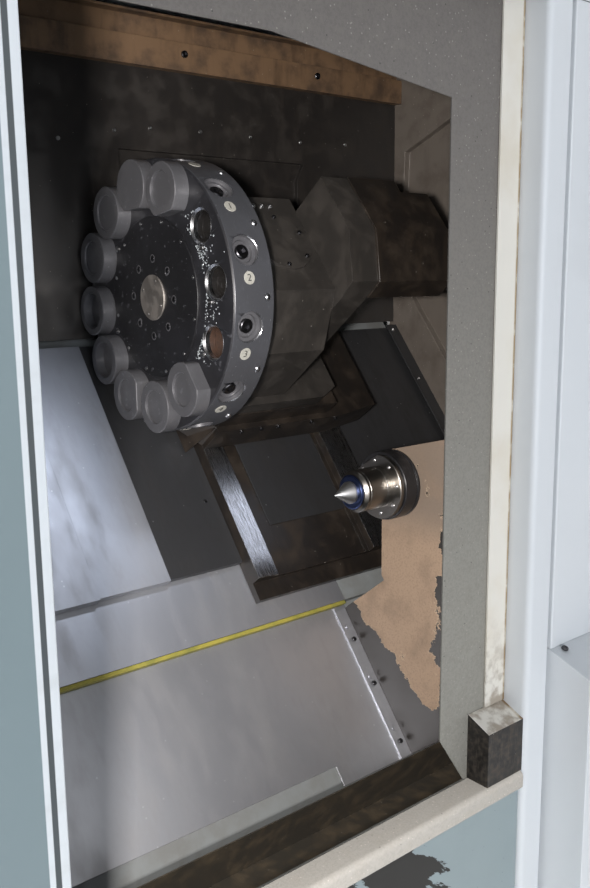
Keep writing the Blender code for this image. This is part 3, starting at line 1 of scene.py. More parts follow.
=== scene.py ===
import json
import math

import bmesh
import bpy
import numpy as np
from mathutils import Matrix, Vector

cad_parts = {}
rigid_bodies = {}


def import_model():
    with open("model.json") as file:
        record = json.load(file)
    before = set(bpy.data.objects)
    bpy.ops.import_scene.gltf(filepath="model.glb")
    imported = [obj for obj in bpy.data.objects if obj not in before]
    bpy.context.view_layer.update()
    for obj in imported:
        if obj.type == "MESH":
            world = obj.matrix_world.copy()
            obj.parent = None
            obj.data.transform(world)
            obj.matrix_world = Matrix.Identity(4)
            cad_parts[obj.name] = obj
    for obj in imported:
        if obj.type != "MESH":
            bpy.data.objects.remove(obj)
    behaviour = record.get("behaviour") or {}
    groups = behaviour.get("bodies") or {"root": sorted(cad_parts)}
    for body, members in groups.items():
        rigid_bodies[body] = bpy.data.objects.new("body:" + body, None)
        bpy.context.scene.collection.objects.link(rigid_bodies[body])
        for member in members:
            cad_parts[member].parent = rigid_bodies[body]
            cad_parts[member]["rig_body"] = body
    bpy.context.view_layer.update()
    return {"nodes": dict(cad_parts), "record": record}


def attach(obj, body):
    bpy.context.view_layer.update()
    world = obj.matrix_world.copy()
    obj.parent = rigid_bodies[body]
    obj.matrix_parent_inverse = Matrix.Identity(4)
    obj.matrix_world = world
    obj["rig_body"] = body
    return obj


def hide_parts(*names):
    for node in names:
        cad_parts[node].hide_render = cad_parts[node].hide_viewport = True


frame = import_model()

# Places of the real machine, in metres, as in the CAD.
SLANT = math.radians(52)
SPINDLE = np.array((0.0, -0.255, 1.0))
ALONG = np.array((1.0, 0.0, 0.0))
UP_BED = np.array((0.0, math.cos(SLANT), math.sin(SLANT)))
OUT_BED = np.array((0.0, -math.sin(SLANT), math.cos(SLANT)))
TURRET_UP = 0.457
TURRET = SPINDLE + TURRET_UP * UP_BED
SLOTS = {part["node"]: part["material_slot"] for part in frame["record"]["subparts"]}


def bed(x, y, z):
    """A world point from the slanted frame: x along the spindle, y up the bed, z out of it."""
    return SPINDLE + x * ALONG + y * UP_BED + z * OUT_BED


def linear(code):
    """Linear light of an sRGB hex colour: v / 12.92 when dark, else ((v + 0.055) / 1.055) to the power 2.4."""
    parts = [int(code[at:at + 2], 16) / 255 for at in (0, 2, 4)]
    return tuple(v / 12.92 if v <= 0.04045 else ((v + 0.055) / 1.055) ** 2.4 for v in parts) + (1.0,)


# Nodes and patterns
def add(tree, kind, inputs=None, **settings):
    """Adds one node; an input is a value, a colour, or the output that feeds it."""
    node = tree.nodes.new(kind)
    for name, value in settings.items():
        setattr(node, name, value)
    for key, value in (inputs or {}).items():
        if isinstance(value, bpy.types.NodeSocket):
            tree.links.new(value, node.inputs[key])
        else:
            node.inputs[key].default_value = value
    return node


def material(name, colour, roughness, metallic=0.0, **constants):
    """A new material with a Principled shader; returns it, its tree, its shader and its object coordinates."""
    made = bpy.data.materials.new(name)
    made.use_nodes = True
    tree = made.node_tree
    tree.nodes.clear()
    values = {"Base Color": linear(colour), "Roughness": roughness, "Metallic": metallic}
    values.update({key.replace("_", " "): value for key, value in constants.items()})
    shader = add(tree, "ShaderNodeBsdfPrincipled", values)
    add(tree, "ShaderNodeOutputMaterial", {"Surface": shader.outputs[0]})
    return made, tree, shader, add(tree, "ShaderNodeTexCoord").outputs["Object"]


def patches(tree, spots, size, low, high, stretch=(1, 1, 1), detail=5.0, rough=0.55):
    """A mask of blots about size metres wide; stretch makes them longer along an axis."""
    scale = [1 / (size * part) for part in stretch]
    place = add(tree, "ShaderNodeMapping", {"Vector": spots, "Scale": scale})
    inputs = {"Vector": place.outputs[0], "Scale": 1.0, "Detail": detail, "Roughness": rough}
    return ranged(tree, add(tree, "ShaderNodeTexNoise", inputs).outputs[0], low, high)


def ranged(tree, value, low, high, start=0.0, end=1.0):
    """Eases a value from start to end while it goes from low to high."""
    inputs = {"Value": value, "From Min": low, "From Max": high, "To Min": start, "To Max": end}
    return add(tree, "ShaderNodeMapRange", inputs, interpolation_type="SMOOTHSTEP").outputs[0]


def specks(tree, spots, pitch, radius, share):
    """A mask of round specks of a radius in metres, in a share of the cells of a pattern with that pitch."""
    cells = add(tree, "ShaderNodeTexVoronoi", {"Vector": spots, "Scale": 1 / pitch})
    dot = ranged(tree, cells.outputs["Distance"], radius / pitch, radius * 0.6 / pitch)
    pick = add(tree, "ShaderNodeSeparateColor", {0: cells.outputs["Color"]})
    some = add(tree, "ShaderNodeMath", {0: pick.outputs[0], 1: share}, operation="LESS_THAN")
    return times(tree, dot, some.outputs[0])


def times(tree, one, other):
    return add(tree, "ShaderNodeMath", {0: one, 1: other}, operation="MULTIPLY").outputs[0]


def mixed(tree, mask, low, high):
    """The colour low where the mask is 0 and high where it is 1."""
    return add(tree, "ShaderNodeMix", {0: mask, 6: low, 7: high}, data_type="RGBA").outputs[2]


def bumped(tree, shader, height, depth, strength=1.0):
    """Raises the surface by depth metres where height is 1."""
    inputs = {"Height": height, "Distance": depth, "Strength": strength}
    tree.links.new(add(tree, "ShaderNodeBump", inputs).outputs[0], shader.inputs["Normal"])


def coloured(tree, shader, colour, rough=None):
    tree.links.new(colour, shader.inputs["Base Color"])
    if rough is not None:
        tree.links.new(rough, shader.inputs["Roughness"])


def axis(tree, spots, name):
    return add(tree, "ShaderNodeSeparateXYZ", {0: spots}).outputs[name]


def slanted(tree, spots):
    """Coordinates in the slanted frame of the bed."""
    inputs = {"Vector": spots, "Location": SPINDLE, "Rotation": (SLANT, 0.0, 0.0)}
    return add(tree, "ShaderNodeMapping", inputs, vector_type="TEXTURE").outputs[0]


# Materials
def stainless(name, colour, dirt, amount=0.35):
    """Cold rolled stainless sheet with drag scratches, a dried coolant film and dull patches."""
    made, tree, shader, spots = material(name, colour, 0.3, 0.8)
    bedside = slanted(tree, spots)
    film = patches(tree, bedside, 0.16, 0.42, 0.75, (1, 2.2, 1))
    smears = patches(tree, bedside, 0.035, 0.45, 0.7, (1, 3, 1))
    scratch = patches(tree, bedside, 0.0011, 0.55, 0.72, (90, 1, 1), 2.0)
    scored = patches(tree, bedside, 0.0013, 0.62, 0.74, (1, 70, 1), 2.0)
    spot = specks(tree, bedside, 0.02, 0.0022, 0.22)
    base = mixed(tree, times(tree, film, amount), linear(colour), linear(dirt))
    base = mixed(tree, times(tree, smears, amount * 0.5), base, linear(dirt))
    base = mixed(tree, times(tree, spot, 0.3), base, linear("d8dade"))
    rough = add(tree, "ShaderNodeMath", {0: film, 1: 0.14, 2: 0.40}, operation="MULTIPLY_ADD").outputs[0]
    rough = add(tree, "ShaderNodeMath", {0: smears, 1: 0.08, 2: rough}, operation="MULTIPLY_ADD").outputs[0]
    coloured(tree, shader, base, rough)
    both = add(tree, "ShaderNodeMath", {0: scratch, 1: scored}, operation="ADD").outputs[0]
    bumped(tree, shader, both, 0.00003, 0.35)
    return made


def oxide(name, colour, worn, share=0.3, metallic=0.25):
    """Machined steel with a black oxide finish, oily and scuffed lighter where chips rub it."""
    made, tree, shader, spots = material(name, colour, 0.4, metallic)
    cloud = patches(tree, spots, 0.07, 0.4, 0.75)
    rub = patches(tree, spots, 0.012, 0.6, 0.78, (1, 1, 1), 8.0, 0.7)
    scratch = patches(tree, spots, 0.0012, 0.62, 0.75, (1, 14, 9), 2.0)
    spot = specks(tree, spots, 0.012, 0.0009, 0.3)
    base = mixed(tree, times(tree, cloud, share), linear(colour), linear(worn))
    base = mixed(tree, times(tree, rub, share * 0.7), base, linear(worn))
    base = mixed(tree, times(tree, scratch, 0.2), base, linear("8c8e96"))
    base = mixed(tree, times(tree, spot, 0.45), base, linear("b9bcc2"))
    coloured(tree, shader, base, ranged(tree, cloud, 0, 1, 0.42, 0.3))
    bumped(tree, shader, rub, 0.00004, 0.4)
    return made


def ground(name="ground_bright_steel", colour="c8c9cc", rough=0.2):
    """Ground steel left bright, with fine grinding lines round or along the piece."""
    made, tree, shader, spots = material(name, colour, rough, 1.0)
    lines = patches(tree, spots, 0.0007, 0.35, 0.65, (1, 40, 40), 2.0)
    stain = patches(tree, spots, 0.02, 0.5, 0.8)
    base = mixed(tree, times(tree, stain, 0.35), linear(colour), linear("7d7a74"))
    coloured(tree, shader, base, ranged(tree, lines, 0, 1, rough, rough + 0.12))
    bumped(tree, shader, lines, 0.000012, 0.5)
    return made


def enamel(name, colour, rough, stain, amount, size=0.05):
    """Sprayed machine enamel under an uneven oil and coolant film, with dried specks of chips."""
    made, tree, shader, spots = material(name, colour, rough)
    film = patches(tree, spots, size, 0.4, 0.72)
    streak = patches(tree, spots, size * 0.5, 0.5, 0.75, (1, 1, 5))
    spot = specks(tree, spots, 0.011, 0.0011, 0.15)
    base = mixed(tree, times(tree, film, amount), linear(colour), linear(stain))
    base = mixed(tree, times(tree, streak, amount * 0.6), base, linear(stain))
    base = mixed(tree, times(tree, spot, 0.6), base, linear("9a968f"))
    coloured(tree, shader, base, ranged(tree, film, 0, 1, rough, rough + 0.18))
    return made


def powder(name, colour):
    """Powder coated sheet steel with the fine skin of the powder and a little hand grime."""
    made, tree, shader, spots = material(name, colour, 0.38)
    peel = patches(tree, spots, 0.0012, 0.3, 0.7, (1, 1, 1), 2.0)
    grimy = patches(tree, spots, 0.22, 0.5, 0.85)
    base = mixed(tree, times(tree, grimy, 0.12), linear(colour), linear("8d8a80"))
    coloured(tree, shader, base)
    bumped(tree, shader, peel, 0.00003, 0.2)
    return made


def stripe(tree, x, right, left):
    """A mask of the band between two places along x, whose edges ease over a millimetre."""
    return times(tree, ranged(tree, x, right, right - 0.001), ranged(tree, x, left - 0.001, left))


BAND_RIGHT, BAND_LEFT = -0.4385, -0.5795
SEAL_RIGHT, SEAL_LEFT = -0.4268, -0.4325


def banded(name, colour, band, groove):
    """Door enamel: white closing edge, dark seal groove, thin white line, then a wide teal band and white skin."""
    made, tree, shader, spots = material(name, colour, 0.34)
    x = axis(tree, spots, "X")
    grimy = patches(tree, spots, 0.10, 0.45, 0.8, (1, 1, 0.3))
    teal = stripe(tree, x, BAND_RIGHT, BAND_LEFT)
    seal = stripe(tree, x, SEAL_RIGHT, SEAL_LEFT)
    base = mixed(tree, times(tree, grimy, 0.15), linear(colour), linear("8d8a80"))
    base = mixed(tree, teal, base, linear(band))
    base = mixed(tree, seal, base, linear(groove))
    coloured(tree, shader, base)
    bumped(tree, shader, seal, -0.001, 0.6)
    return made


def worn_teal(name, colour, bare):
    """Teal enamel on the front panel, rubbed and flaked to dark bare steel in a jagged patch below the sill."""
    made, tree, shader, spots = material(name, colour, 0.36)
    centre, lean = (0.055, -0.703, 0.612), math.radians(-34)
    place = add(tree, "ShaderNodeVectorMath", {0: spots, 1: centre}, operation="SUBTRACT").outputs[0]
    turned = add(tree, "ShaderNodeMapping", {"Vector": place, "Rotation": (0.0, lean, 0.0)}).outputs[0]
    shape = add(tree, "ShaderNodeMapping", {"Vector": turned, "Scale": (6.0, 5.0, 19.0)}).outputs[0]
    reach = add(tree, "ShaderNodeVectorMath", {0: shape}, operation="LENGTH").outputs["Value"]
    torn = add(tree, "ShaderNodeMapping", {"Vector": turned, "Scale": (16.0, 20.0, 70.0)}).outputs[0]
    torn = add(tree, "ShaderNodeTexNoise", {"Vector": torn, "Scale": 1.0, "Detail": 6.0, "Roughness": 0.6}).outputs[0]
    reach = add(tree, "ShaderNodeMath", {0: torn, 1: 1.7, 2: reach}, operation="MULTIPLY_ADD").outputs[0]
    gone = ranged(tree, reach, 1.62, 1.58)
    clouds = patches(tree, spots, 0.08, 0.45, 0.8)
    spot = specks(tree, spots, 0.012, 0.0010, 0.25)
    base = mixed(tree, times(tree, clouds, 0.25), linear(colour), linear("7c8a8b"))
    base = mixed(tree, times(tree, spot, 0.5), base, linear("4a5150"))
    base = mixed(tree, gone, base, linear(bare))
    coloured(tree, shader, base, ranged(tree, gone, 0, 1, 0.36, 0.5))
    bumped(tree, shader, gone, -0.0002, 1.0)
    return made


def lined(name, colour):
    """Cream trim enamel, with a line of ochre coolant dirt beside the post and brown stains low down."""
    made, tree, shader, spots = material(name, colour, 0.42)
    x, z = axis(tree, spots, "X"), axis(tree, spots, "Z")
    line = times(tree, ranged(tree, x, 0.3285, 0.3325), patches(tree, spots, 0.03, 0.25, 0.55))
    low = times(tree, ranged(tree, z, 0.92, 0.76), patches(tree, spots, 0.03, 0.42, 0.6))
    clouds = patches(tree, spots, 0.1, 0.45, 0.8)
    base = mixed(tree, times(tree, clouds, 0.3), linear(colour), linear("c3b08c"))
    base = mixed(tree, times(tree, line, 0.85), base, linear("8a6a2c"))
    base = mixed(tree, times(tree, low, 0.6), base, linear("6f5430"))
    coloured(tree, shader, base)
    return made


def speckled(name, colour, dark, light):
    """Painted sheet steel under splashed coolant: dense grey and brown specks, darker and dirtier high up."""
    made, tree, shader, spots = material(name, colour, 0.62)
    fine = patches(tree, spots, 0.0035, 0.44, 0.6, (1, 1, 1), 6.0, 0.7)
    coarse = patches(tree, spots, 0.02, 0.45, 0.72, (1, 1, 1), 6.0, 0.7)
    spot = specks(tree, spots, 0.006, 0.0012, 0.45)
    high = ranged(tree, axis(tree, spots, "Z"), 0.85, 1.75)
    base = mixed(tree, high, linear(light), linear(colour))
    base = mixed(tree, times(tree, fine, 0.16), base, linear(dark))
    base = mixed(tree, times(tree, coarse, 0.25), base, linear("7d786f"))
    base = mixed(tree, times(tree, specks(tree, spots, 0.011, 0.0013, 0.4), 0.8), base, linear(dark))
    base = mixed(tree, times(tree, spot, 0.5), base, linear("aba69d"))
    coloured(tree, shader, base)
    bumped(tree, shader, fine, 0.00012, 0.5)
    return made


def peeled(name, colour, stain, bare):
    """Old tan paint on a casting: pitted, and peeled to dark bare iron in torn patches low and near the front edge."""
    made, tree, shader, spots = material(name, colour, 0.66)
    pits = patches(tree, spots, 0.004, 0.45, 0.68, (1, 1, 1), 6.0, 0.7)
    clouds = patches(tree, spots, 0.05, 0.42, 0.75)
    torn = add(tree, "ShaderNodeTexNoise", {"Vector": spots, "Scale": 11.0, "Detail": 7.0, "Roughness": 0.68})
    y, z = axis(tree, spots, "Y"), axis(tree, spots, "Z")
    front = ranged(tree, y, -0.325, -0.395, 0.0, 0.30)
    rate, whole, bare_below = -0.79, 0.872, 0.800
    lean = add(tree, "ShaderNodeMath", {0: y, 1: rate, 2: z}, operation="MULTIPLY_ADD").outputs[0]
    low = ranged(tree, lean, whole, bare_below, 0.0, 0.42)
    middle = ranged(tree, z, 0.99, 0.90)
    high = times(tree, ranged(tree, z, 0.88, 0.97), ranged(tree, clouds, 0, 1, 1.0, 0.6))
    edge = add(tree, "ShaderNodeMath", {0: times(tree, front, middle), 1: low}, operation="ADD").outputs[0]
    reach = add(tree, "ShaderNodeMath", {0: torn.outputs[0], 1: edge}, operation="ADD").outputs[0]
    gone = ranged(tree, reach, 0.69, 0.70)
    rim = ranged(tree, reach, 0.675, 0.69)
    base = mixed(tree, times(tree, clouds, 0.45), linear(colour), linear(stain))
    base = mixed(tree, times(tree, pits, 0.4), base, linear(stain))
    base = mixed(tree, times(tree, high, 0.8), base, linear("655b52"))
    base = mixed(tree, times(tree, rim, 0.5), base, linear("b7a48e"))
    base = mixed(tree, gone, base, linear(bare))
    coloured(tree, shader, base, ranged(tree, gone, 0, 1, 0.66, 0.4))
    bumped(tree, shader, gone, -0.0004, 1.0)
    return made


def plain(name, colour, rough, metallic=0.0, **constants):
    """A clean even surface, for small pieces of plastic, rubber, glass or plated steel."""
    return material(name, colour, rough, metallic, **constants)[0]


STEEL = ground()
SOOT = enamel("sooty_corner_enamel", "15120f", 0.5, "6b6055", 0.35, 0.008)
HUB_STEEL = ground("worn_hub_steel", "aaa49e", 0.5)
CENTRE_STEEL = plain("turned_centre_steel", "85827e", 0.3, 1.0)
POINT_STEEL = plain("polished_point_steel", "dcdddf", 0.34, 1.0)
BLUED = plain("heat_blued_ring_steel", "333d5c", 0.35, 1.0)
SCREW_BLACK = plain("blackened_screw_steel", "4a4a4d", 0.34, 1.0)
SCREW_BRIGHT = plain("zinc_plated_screw_steel", "a9a9aa", 0.3, 1.0)
SHEET_STEEL = stainless("scratched_stainless_sheet", "a2a4aa", "6d6963")
# The same sheet steel as the slope sheets, written far darker: its grey is painted shade and painted dark reflection,
# over some real oil film.
SHADED_COVER_STEEL = stainless("oily_way_cover_sheet_painted_shade", "545558", "302c29", 0.5)
DISC_STEEL = oxide("black_oxided_turret_steel", "212124", "404146")
PLATE_STEEL = oxide("black_oxided_cover_steel", "1a1a1c", "303034", 0.3)
PLUG_STEEL = oxide("oxided_plug_steel", "4c4c4f", "68686b", 0.35)
RIM_STEEL = oxide("phosphated_rim_steel", "46474b", "5c5e64", 0.3, 0.4)
BORE_STEEL = oxide("oily_bore_steel", "1b1a1a", "3a3734", 0.4)
RUST = enamel("rusted_bore_wall", "3c2a20", 0.6, "1c1512", 0.5, 0.012)
OILY = enamel("dark_oily_enamel", "1b1816", 0.3, "332b23", 0.5)
HOUSING = enamel("dirty_housing_enamel", "272523", 0.36, "393531", 0.5)
COVER_BLACK = enamel("near_black_cover_enamel", "1c1a1a", 0.32, "332c2a", 0.4)
BACK = enamel("oily_back_panel_enamel", "1f1d1c", 0.36, "2c2824", 0.5)
WALL = enamel("stained_wall_enamel", "5d5751", 0.42, "433b35", 0.5)
BEAM = enamel("brown_stained_beam_enamel", "65503c", 0.5, "2c211a", 0.75)
TAN = peeled("peeled_tan_casting", "8d7966", "5f5044", "1d1915")
TROUGH = enamel("rusty_wet_trough_steel", "36332e", 0.4, "5c4f3c", 0.4, 0.04)
YELLOW = enamel("aged_yellow_seal_rubber", "8a8136", 0.6, "4b5324", 0.6)
SPLASH = speckled("coolant_speckled_plate", "6a6561", "3a3733", "8f8c83")
WHITE = powder("white_powder_coat", "d7dadc")
VENT = plain("shadowed_vent_enamel", "3a3d3e", 0.6)
# The band's teal is the front panel's teal written darker; the difference is painted shade.
SHADED_DOOR_PAINT = banded("banded_door_enamel_painted_shade", "dde1e3", "7e8d90", "4a5052")
CREAM = lined("cream_enamel_trim", "e3ded3")
TEAL = worn_teal("teal_enamel_panel", "8e9b9d", "171512")
CAST = enamel("grey_cast_iron_paint", "6f7374", 0.5, "55534e", 0.4)
GLASS = plain("laminated_window_glass", "c9d6d8", 0.04, 0.0, Transmission_Weight=0.9, IOR=1.5)
PLASTIC = plain("moulded_black_plastic", "1a1a1b", 0.42)
SCREEN = plain("dark_screen_glass", "0d1114", 0.08)
RED = plain("moulded_red_plastic", "b5140f", 0.35)
FOOT = plain("zinc_plated_foot_steel", "8e9092", 0.35, 1.0)
DISC_WHITE = enamel("white_printed_number_disc", "8f8e87", 0.6, "6a6760", 0.4, 0.006)
SILL = speckled("scuffed_sill_enamel", "84827d", "4f4c47", "84827d")
INK = plain("black_printing_ink", "1c1c1c", 0.6)
# Clear coolant drawn as opaque pale grey: the grey is painted glint, so each drop reads as a light dot.
GLINT_PAINTED_DROP = plain("coolant_drop_painted_glint", "7f8487", 0.08)
SLOT_MATERIALS = {
    "machine_casting": CAST, "foot_steel": FOOT, "stainless_sheet": SHEET_STEEL, "rusty_trough": TROUGH,
    "seal_yellow": YELLOW, "cabin_steel": BACK, "stained_beam": BEAM, "speckled_plate": SPLASH,
    "panel_teal": TEAL, "panel_white": WHITE, "trim_cream": CREAM, "window_glass": GLASS,
    "handle_steel": STEEL, "ground_steel": STEEL, "chuck_steel": PLUG_STEEL, "dark_oxide": DISC_STEEL,
    "dark_paint": OILY, "housing_paint": HOUSING, "tailstock_paint": TAN, "screen_dark": SCREEN,
    "black_plastic": PLASTIC, "button_red": RED,
}


# Pieces
def dressed(item, body, nodes=()):
    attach(item, body)
    if nodes:
        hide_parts(*nodes)
    return item


def refined(node, width, paint=None):
    """A copy of a CAD node with its triangles merged, its flat faces joined and its edges rounded to width."""
    source, sharp = frame["nodes"][node], math.radians(32)
    shape = bmesh.new()
    shape.from_mesh(source.data)
    bmesh.ops.remove_doubles(shape, verts=shape.verts, dist=0.00002)
    bmesh.ops.dissolve_limit(shape, angle_limit=math.radians(1), verts=shape.verts, edges=shape.edges)
    mesh = bpy.data.meshes.new(node + "_skin")
    mesh.from_pydata([v.co[:] for v in shape.verts], [], [[v.index for v in f.verts] for f in shape.faces])
    shape.free()
    mesh.materials.append(paint or SLOT_MATERIALS[SLOTS[node]])
    mesh.shade_smooth()
    mesh.set_sharp_from_angle(angle=sharp)
    item = bpy.data.objects.new(node + "_skin", mesh)
    bpy.context.scene.collection.objects.link(item)
    if width:
        edge = item.modifiers.new("edges", "BEVEL")
        edge.width = width
        edge.segments = 2
        edge.limit_method = "ANGLE"
        edge.angle_limit = sharp
        edge.harden_normals = True
    return dressed(item, source["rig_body"], [node])


def gridded(points, wrap=True):
    """Corner points and faces of a grid of points; wrap joins its last column to its first."""
    rows, columns = points.shape[:2]
    index = np.arange(rows * columns).reshape(rows, columns)
    near = index if wrap else index[:, :-1]
    far = np.roll(index, -1, axis=1) if wrap else index[:, 1:]
    faces = np.stack((near[:-1], far[:-1], far[1:], near[1:]), axis=-1)
    return points.reshape(-1, 3), faces.reshape(-1, 4)


def joined(name, grids, paint, angle=32):
    """One mesh object from several grids of points, merged where they meet."""
    shape = bmesh.new()
    for points, faces in grids:
        corners = [shape.verts.new(point) for point in points]
        for face in faces:
            shape.faces.new([corners[at] for at in face])
    bmesh.ops.remove_doubles(shape, verts=shape.verts, dist=0.000002)
    bmesh.ops.dissolve_degenerate(shape, edges=shape.edges, dist=0.000001)
    bmesh.ops.recalc_face_normals(shape, faces=shape.faces)
    mesh = bpy.data.meshes.new(name)
    shape.to_mesh(mesh)
    shape.free()
    mesh.materials.append(paint)
    mesh.shade_smooth()
    mesh.set_sharp_from_angle(angle=math.radians(angle))
    item = bpy.data.objects.new(name, mesh)
    bpy.context.scene.collection.objects.link(item)
    weight = item.modifiers.new("normals", "WEIGHTED_NORMAL")
    weight.keep_sharp = True
    return item


def frame_of(along):
    """Two directions square to along, as numpy arrays."""
    along = np.array(along, float) / np.linalg.norm(along)
    helper = np.array((0.0, 0.0, 1.0)) if abs(along[2]) < 0.9 else np.array((0.0, 1.0, 0.0))
    side = np.cross(helper, along)
    side /= np.linalg.norm(side)
    return along, side, np.cross(along, side)


def softened(profile, reach):
    """The profile with each inner corner P replaced by the curve (1-t)^2 A + 2t(1-t) P + t^2 B within reach of it."""
    spots = [np.array(p, float) for p in profile]
    out = [spots[0]]
    for before, here, after in zip(spots, spots[1:], spots[2:]):
        back, ahead = before - here, after - here
        size = min(reach, np.linalg.norm(back) * 0.45, np.linalg.norm(ahead) * 0.45)
        start = here + back / np.linalg.norm(back) * size
        end = here + ahead / np.linalg.norm(ahead) * size
        out += [start * (1 - t) ** 2 + here * 2 * t * (1 - t) + end * t ** 2 for t in np.linspace(0, 1, 4)]
    return out + [spots[-1]]


def revolved(profile, spot=SPINDLE, along=ALONG, count=96, shape=None):
    """Turned surface P(u, v) = spot + x(u) along + r(u) s(u, v) (cos v side + sin v up); s is 1 without a shape."""
    along, side, up = frame_of(along)
    turn = np.linspace(0, 2 * math.pi, count, endpoint=False)
    ring = np.cos(turn)[:, None] * side + np.sin(turn)[:, None] * up
    rows = []
    for at, (x, radius) in enumerate(profile):
        size = radius * (np.ones(count) if shape is None else shape(at, turn))
        rows.append(spot + x * along + size[:, None] * ring)
    return gridded(np.array(rows))


def hexed(rows):
    """For the named rows of a profile, a hexagon's radius as a share of its corner radius."""
    def shape(at, turn):
        if at not in rows:
            return np.ones(len(turn))
        return math.cos(math.pi / 6) / np.cos((turn % (math.pi / 3)) - math.pi / 6)
    return shape


def heads(name, spots, radius, height, body, paint, count=24):
    """Socket screw heads: each stands on its spot along its normal, with a hexagon sunk into it."""
    key = radius * 0.5
    low, rim = height * 0.35, radius * 0.12
    profile = [(-0.0003, radius), (height - rim, radius), (height, radius - rim), (height, key), (low, key), (low, 0.0)]
    grids = [revolved(profile, np.array(spot), normal, count, hexed((3, 4))) for spot, normal in spots]
    return dressed(joined(name, grids, paint), body)


def domes(name, spots, radius, height, body, paint, count, rows):
    """Round caps: P(u, v) = spot + height sin u along + radius cos u (cos v side + sin v up)."""
    arcs = np.linspace(0, math.pi / 2, rows)
    grids = []
    for spot, normal, size in spots:
        profile = [(-0.0002, radius * size)]
        profile += [(height * size * math.sin(a), radius * size * math.cos(a)) for a in arcs]
        grids.append(revolved(profile, np.array(spot), normal, count))
    return dressed(joined(name, grids, paint, 60), body)


def turret_point(x, radius, angle):
    """A world point by its place along the turret axis, its radius and its angle from +Y towards +Z."""
    return TURRET + x * ALONG + radius * radial(angle)


def radial(angle):
    return np.array((0.0, math.cos(angle), math.sin(angle)))


# Turret disc
DISC_LEFT, DISC_RIGHT, DISC_RADIUS = 0.1625, 0.25, 0.25
NECK_RIGHT, NECK_RADIUS = 0.2617, 0.085
STATIONS = [math.radians(232 + 30 * k) for k in range(12)]
OPEN_STATIONS = (9, 10, 11)
STATION_RADIUS, BORE_RADIUS, MOUTH_RADIUS, BORE_DEPTH = 0.199, 0.0275, 0.0318, 0.062
SOCKET_X, SOCKET_LAG, SOCKET_RADIUS, SOCKET_DEPTH = DISC_LEFT + 0.0345, math.radians(11), 0.027, 0.017
SEAT_DEPTH = 0.0135


def cylinders(name, spans, radius):
    """A mesh of closed round bars, for cutting."""
    grids = []
    for start, end in spans:
        start, end = np.array(start), np.array(end)
        length = np.linalg.norm(end - start)
        grids.append(revolved([(0, 0), (0, radius), (length, radius), (length, 0)], start, end - start, 48))
    item = joined(name, grids, INK)
    item.modifiers.clear()
    return item


def carved(item, tool):
    """Takes the tool out of the piece for good, then removes the tool."""
    change = item.modifiers.new("cut", "BOOLEAN")
    change.operation = "DIFFERENCE"
    change.solver = "EXACT"
    change.object = tool
    item.modifiers.move(len(item.modifiers) - 1, 0)
    with_change = item.evaluated_get(bpy.context.evaluated_depsgraph_get())
    mesh = bpy.data.meshes.new_from_object(with_change)
    item.modifiers.clear()
    item.data = mesh
    bpy.data.objects.remove(tool)
    mesh.set_sharp_from_angle(angle=math.radians(12))
    weight = item.modifiers.new("normals", "WEIGHTED_NORMAL")
    weight.keep_sharp = True
    return item


def make_disc():
    profile = [
        (NECK_RIGHT, 0.0), (NECK_RIGHT, NECK_RADIUS), (DISC_RIGHT, NECK_RADIUS), (DISC_RIGHT, DISC_RADIUS - 0.004),
        (DISC_RIGHT - 0.004, DISC_RADIUS), (DISC_LEFT + 0.003, DISC_RADIUS), (DISC_LEFT, DISC_RADIUS - 0.003),
        (DISC_LEFT, 0.0)]
    disc = joined("turret_disc_body", [revolved(softened(profile, 0.0008), TURRET, ALONG, 216)], DISC_STEEL)
    spans = []
    for angle in STATIONS:
        way = radial(angle - SOCKET_LAG)
        floor = TURRET + SOCKET_X * ALONG + (DISC_RADIUS - SOCKET_DEPTH) * way
        spans.append((floor, floor + (SOCKET_DEPTH + 0.004) * way))
    disc = carved(disc, cylinders("socket_tool", spans, SOCKET_RADIUS))
    spans = []
    for at in OPEN_STATIONS:
        front = turret_point(DISC_LEFT - 0.004, STATION_RADIUS, STATIONS[at])
        spans.append((front, front + (BORE_DEPTH + 0.004) * ALONG))
    disc = carved(disc, cylinders("bore_tool", spans, MOUTH_RADIUS))
    disc.data.materials.append(RIM_STEEL)
    for face in disc.data.polygons:
        across = np.array(face.center) - TURRET
        if math.hypot(across[1], across[2]) > DISC_RADIUS - 0.0028 and face.normal[0] > -0.5:
            face.material_index = 1
    return dressed(disc, "turret", ["turret_disc"])


def make_bore_liners():
    """Bright chamfered mouths and oily bores of the open stations."""
    mouths, bores = [], []
    for at in OPEN_STATIONS:
        spot = turret_point(DISC_LEFT, STATION_RADIUS, STATIONS[at])
        mouth = [(0.0003, MOUTH_RADIUS + 0.0001), (-0.0003, MOUTH_RADIUS), (-0.0003, MOUTH_RADIUS - 0.0006),
                 (0.0035, BORE_RADIUS), (0.012, BORE_RADIUS)]
        mouths.append(revolved(mouth, spot, ALONG, 72))
        bore = [(0.012, BORE_RADIUS), (0.020, BORE_RADIUS), (0.020, BORE_RADIUS + 0.0015),
                (0.024, BORE_RADIUS + 0.0015), (0.024, BORE_RADIUS), (BORE_DEPTH - 0.001, BORE_RADIUS),
                (BORE_DEPTH - 0.001, 0.0)]
        bores.append(revolved(bore, spot, ALONG, 72))
    dressed(joined("bore_mouths", mouths, STEEL), "turret")
    dressed(joined("rusty_bore_wall", bores[2:], RUST), "turret")
    dressed(joined("bore_walls", bores[:2], BORE_STEEL), "turret")


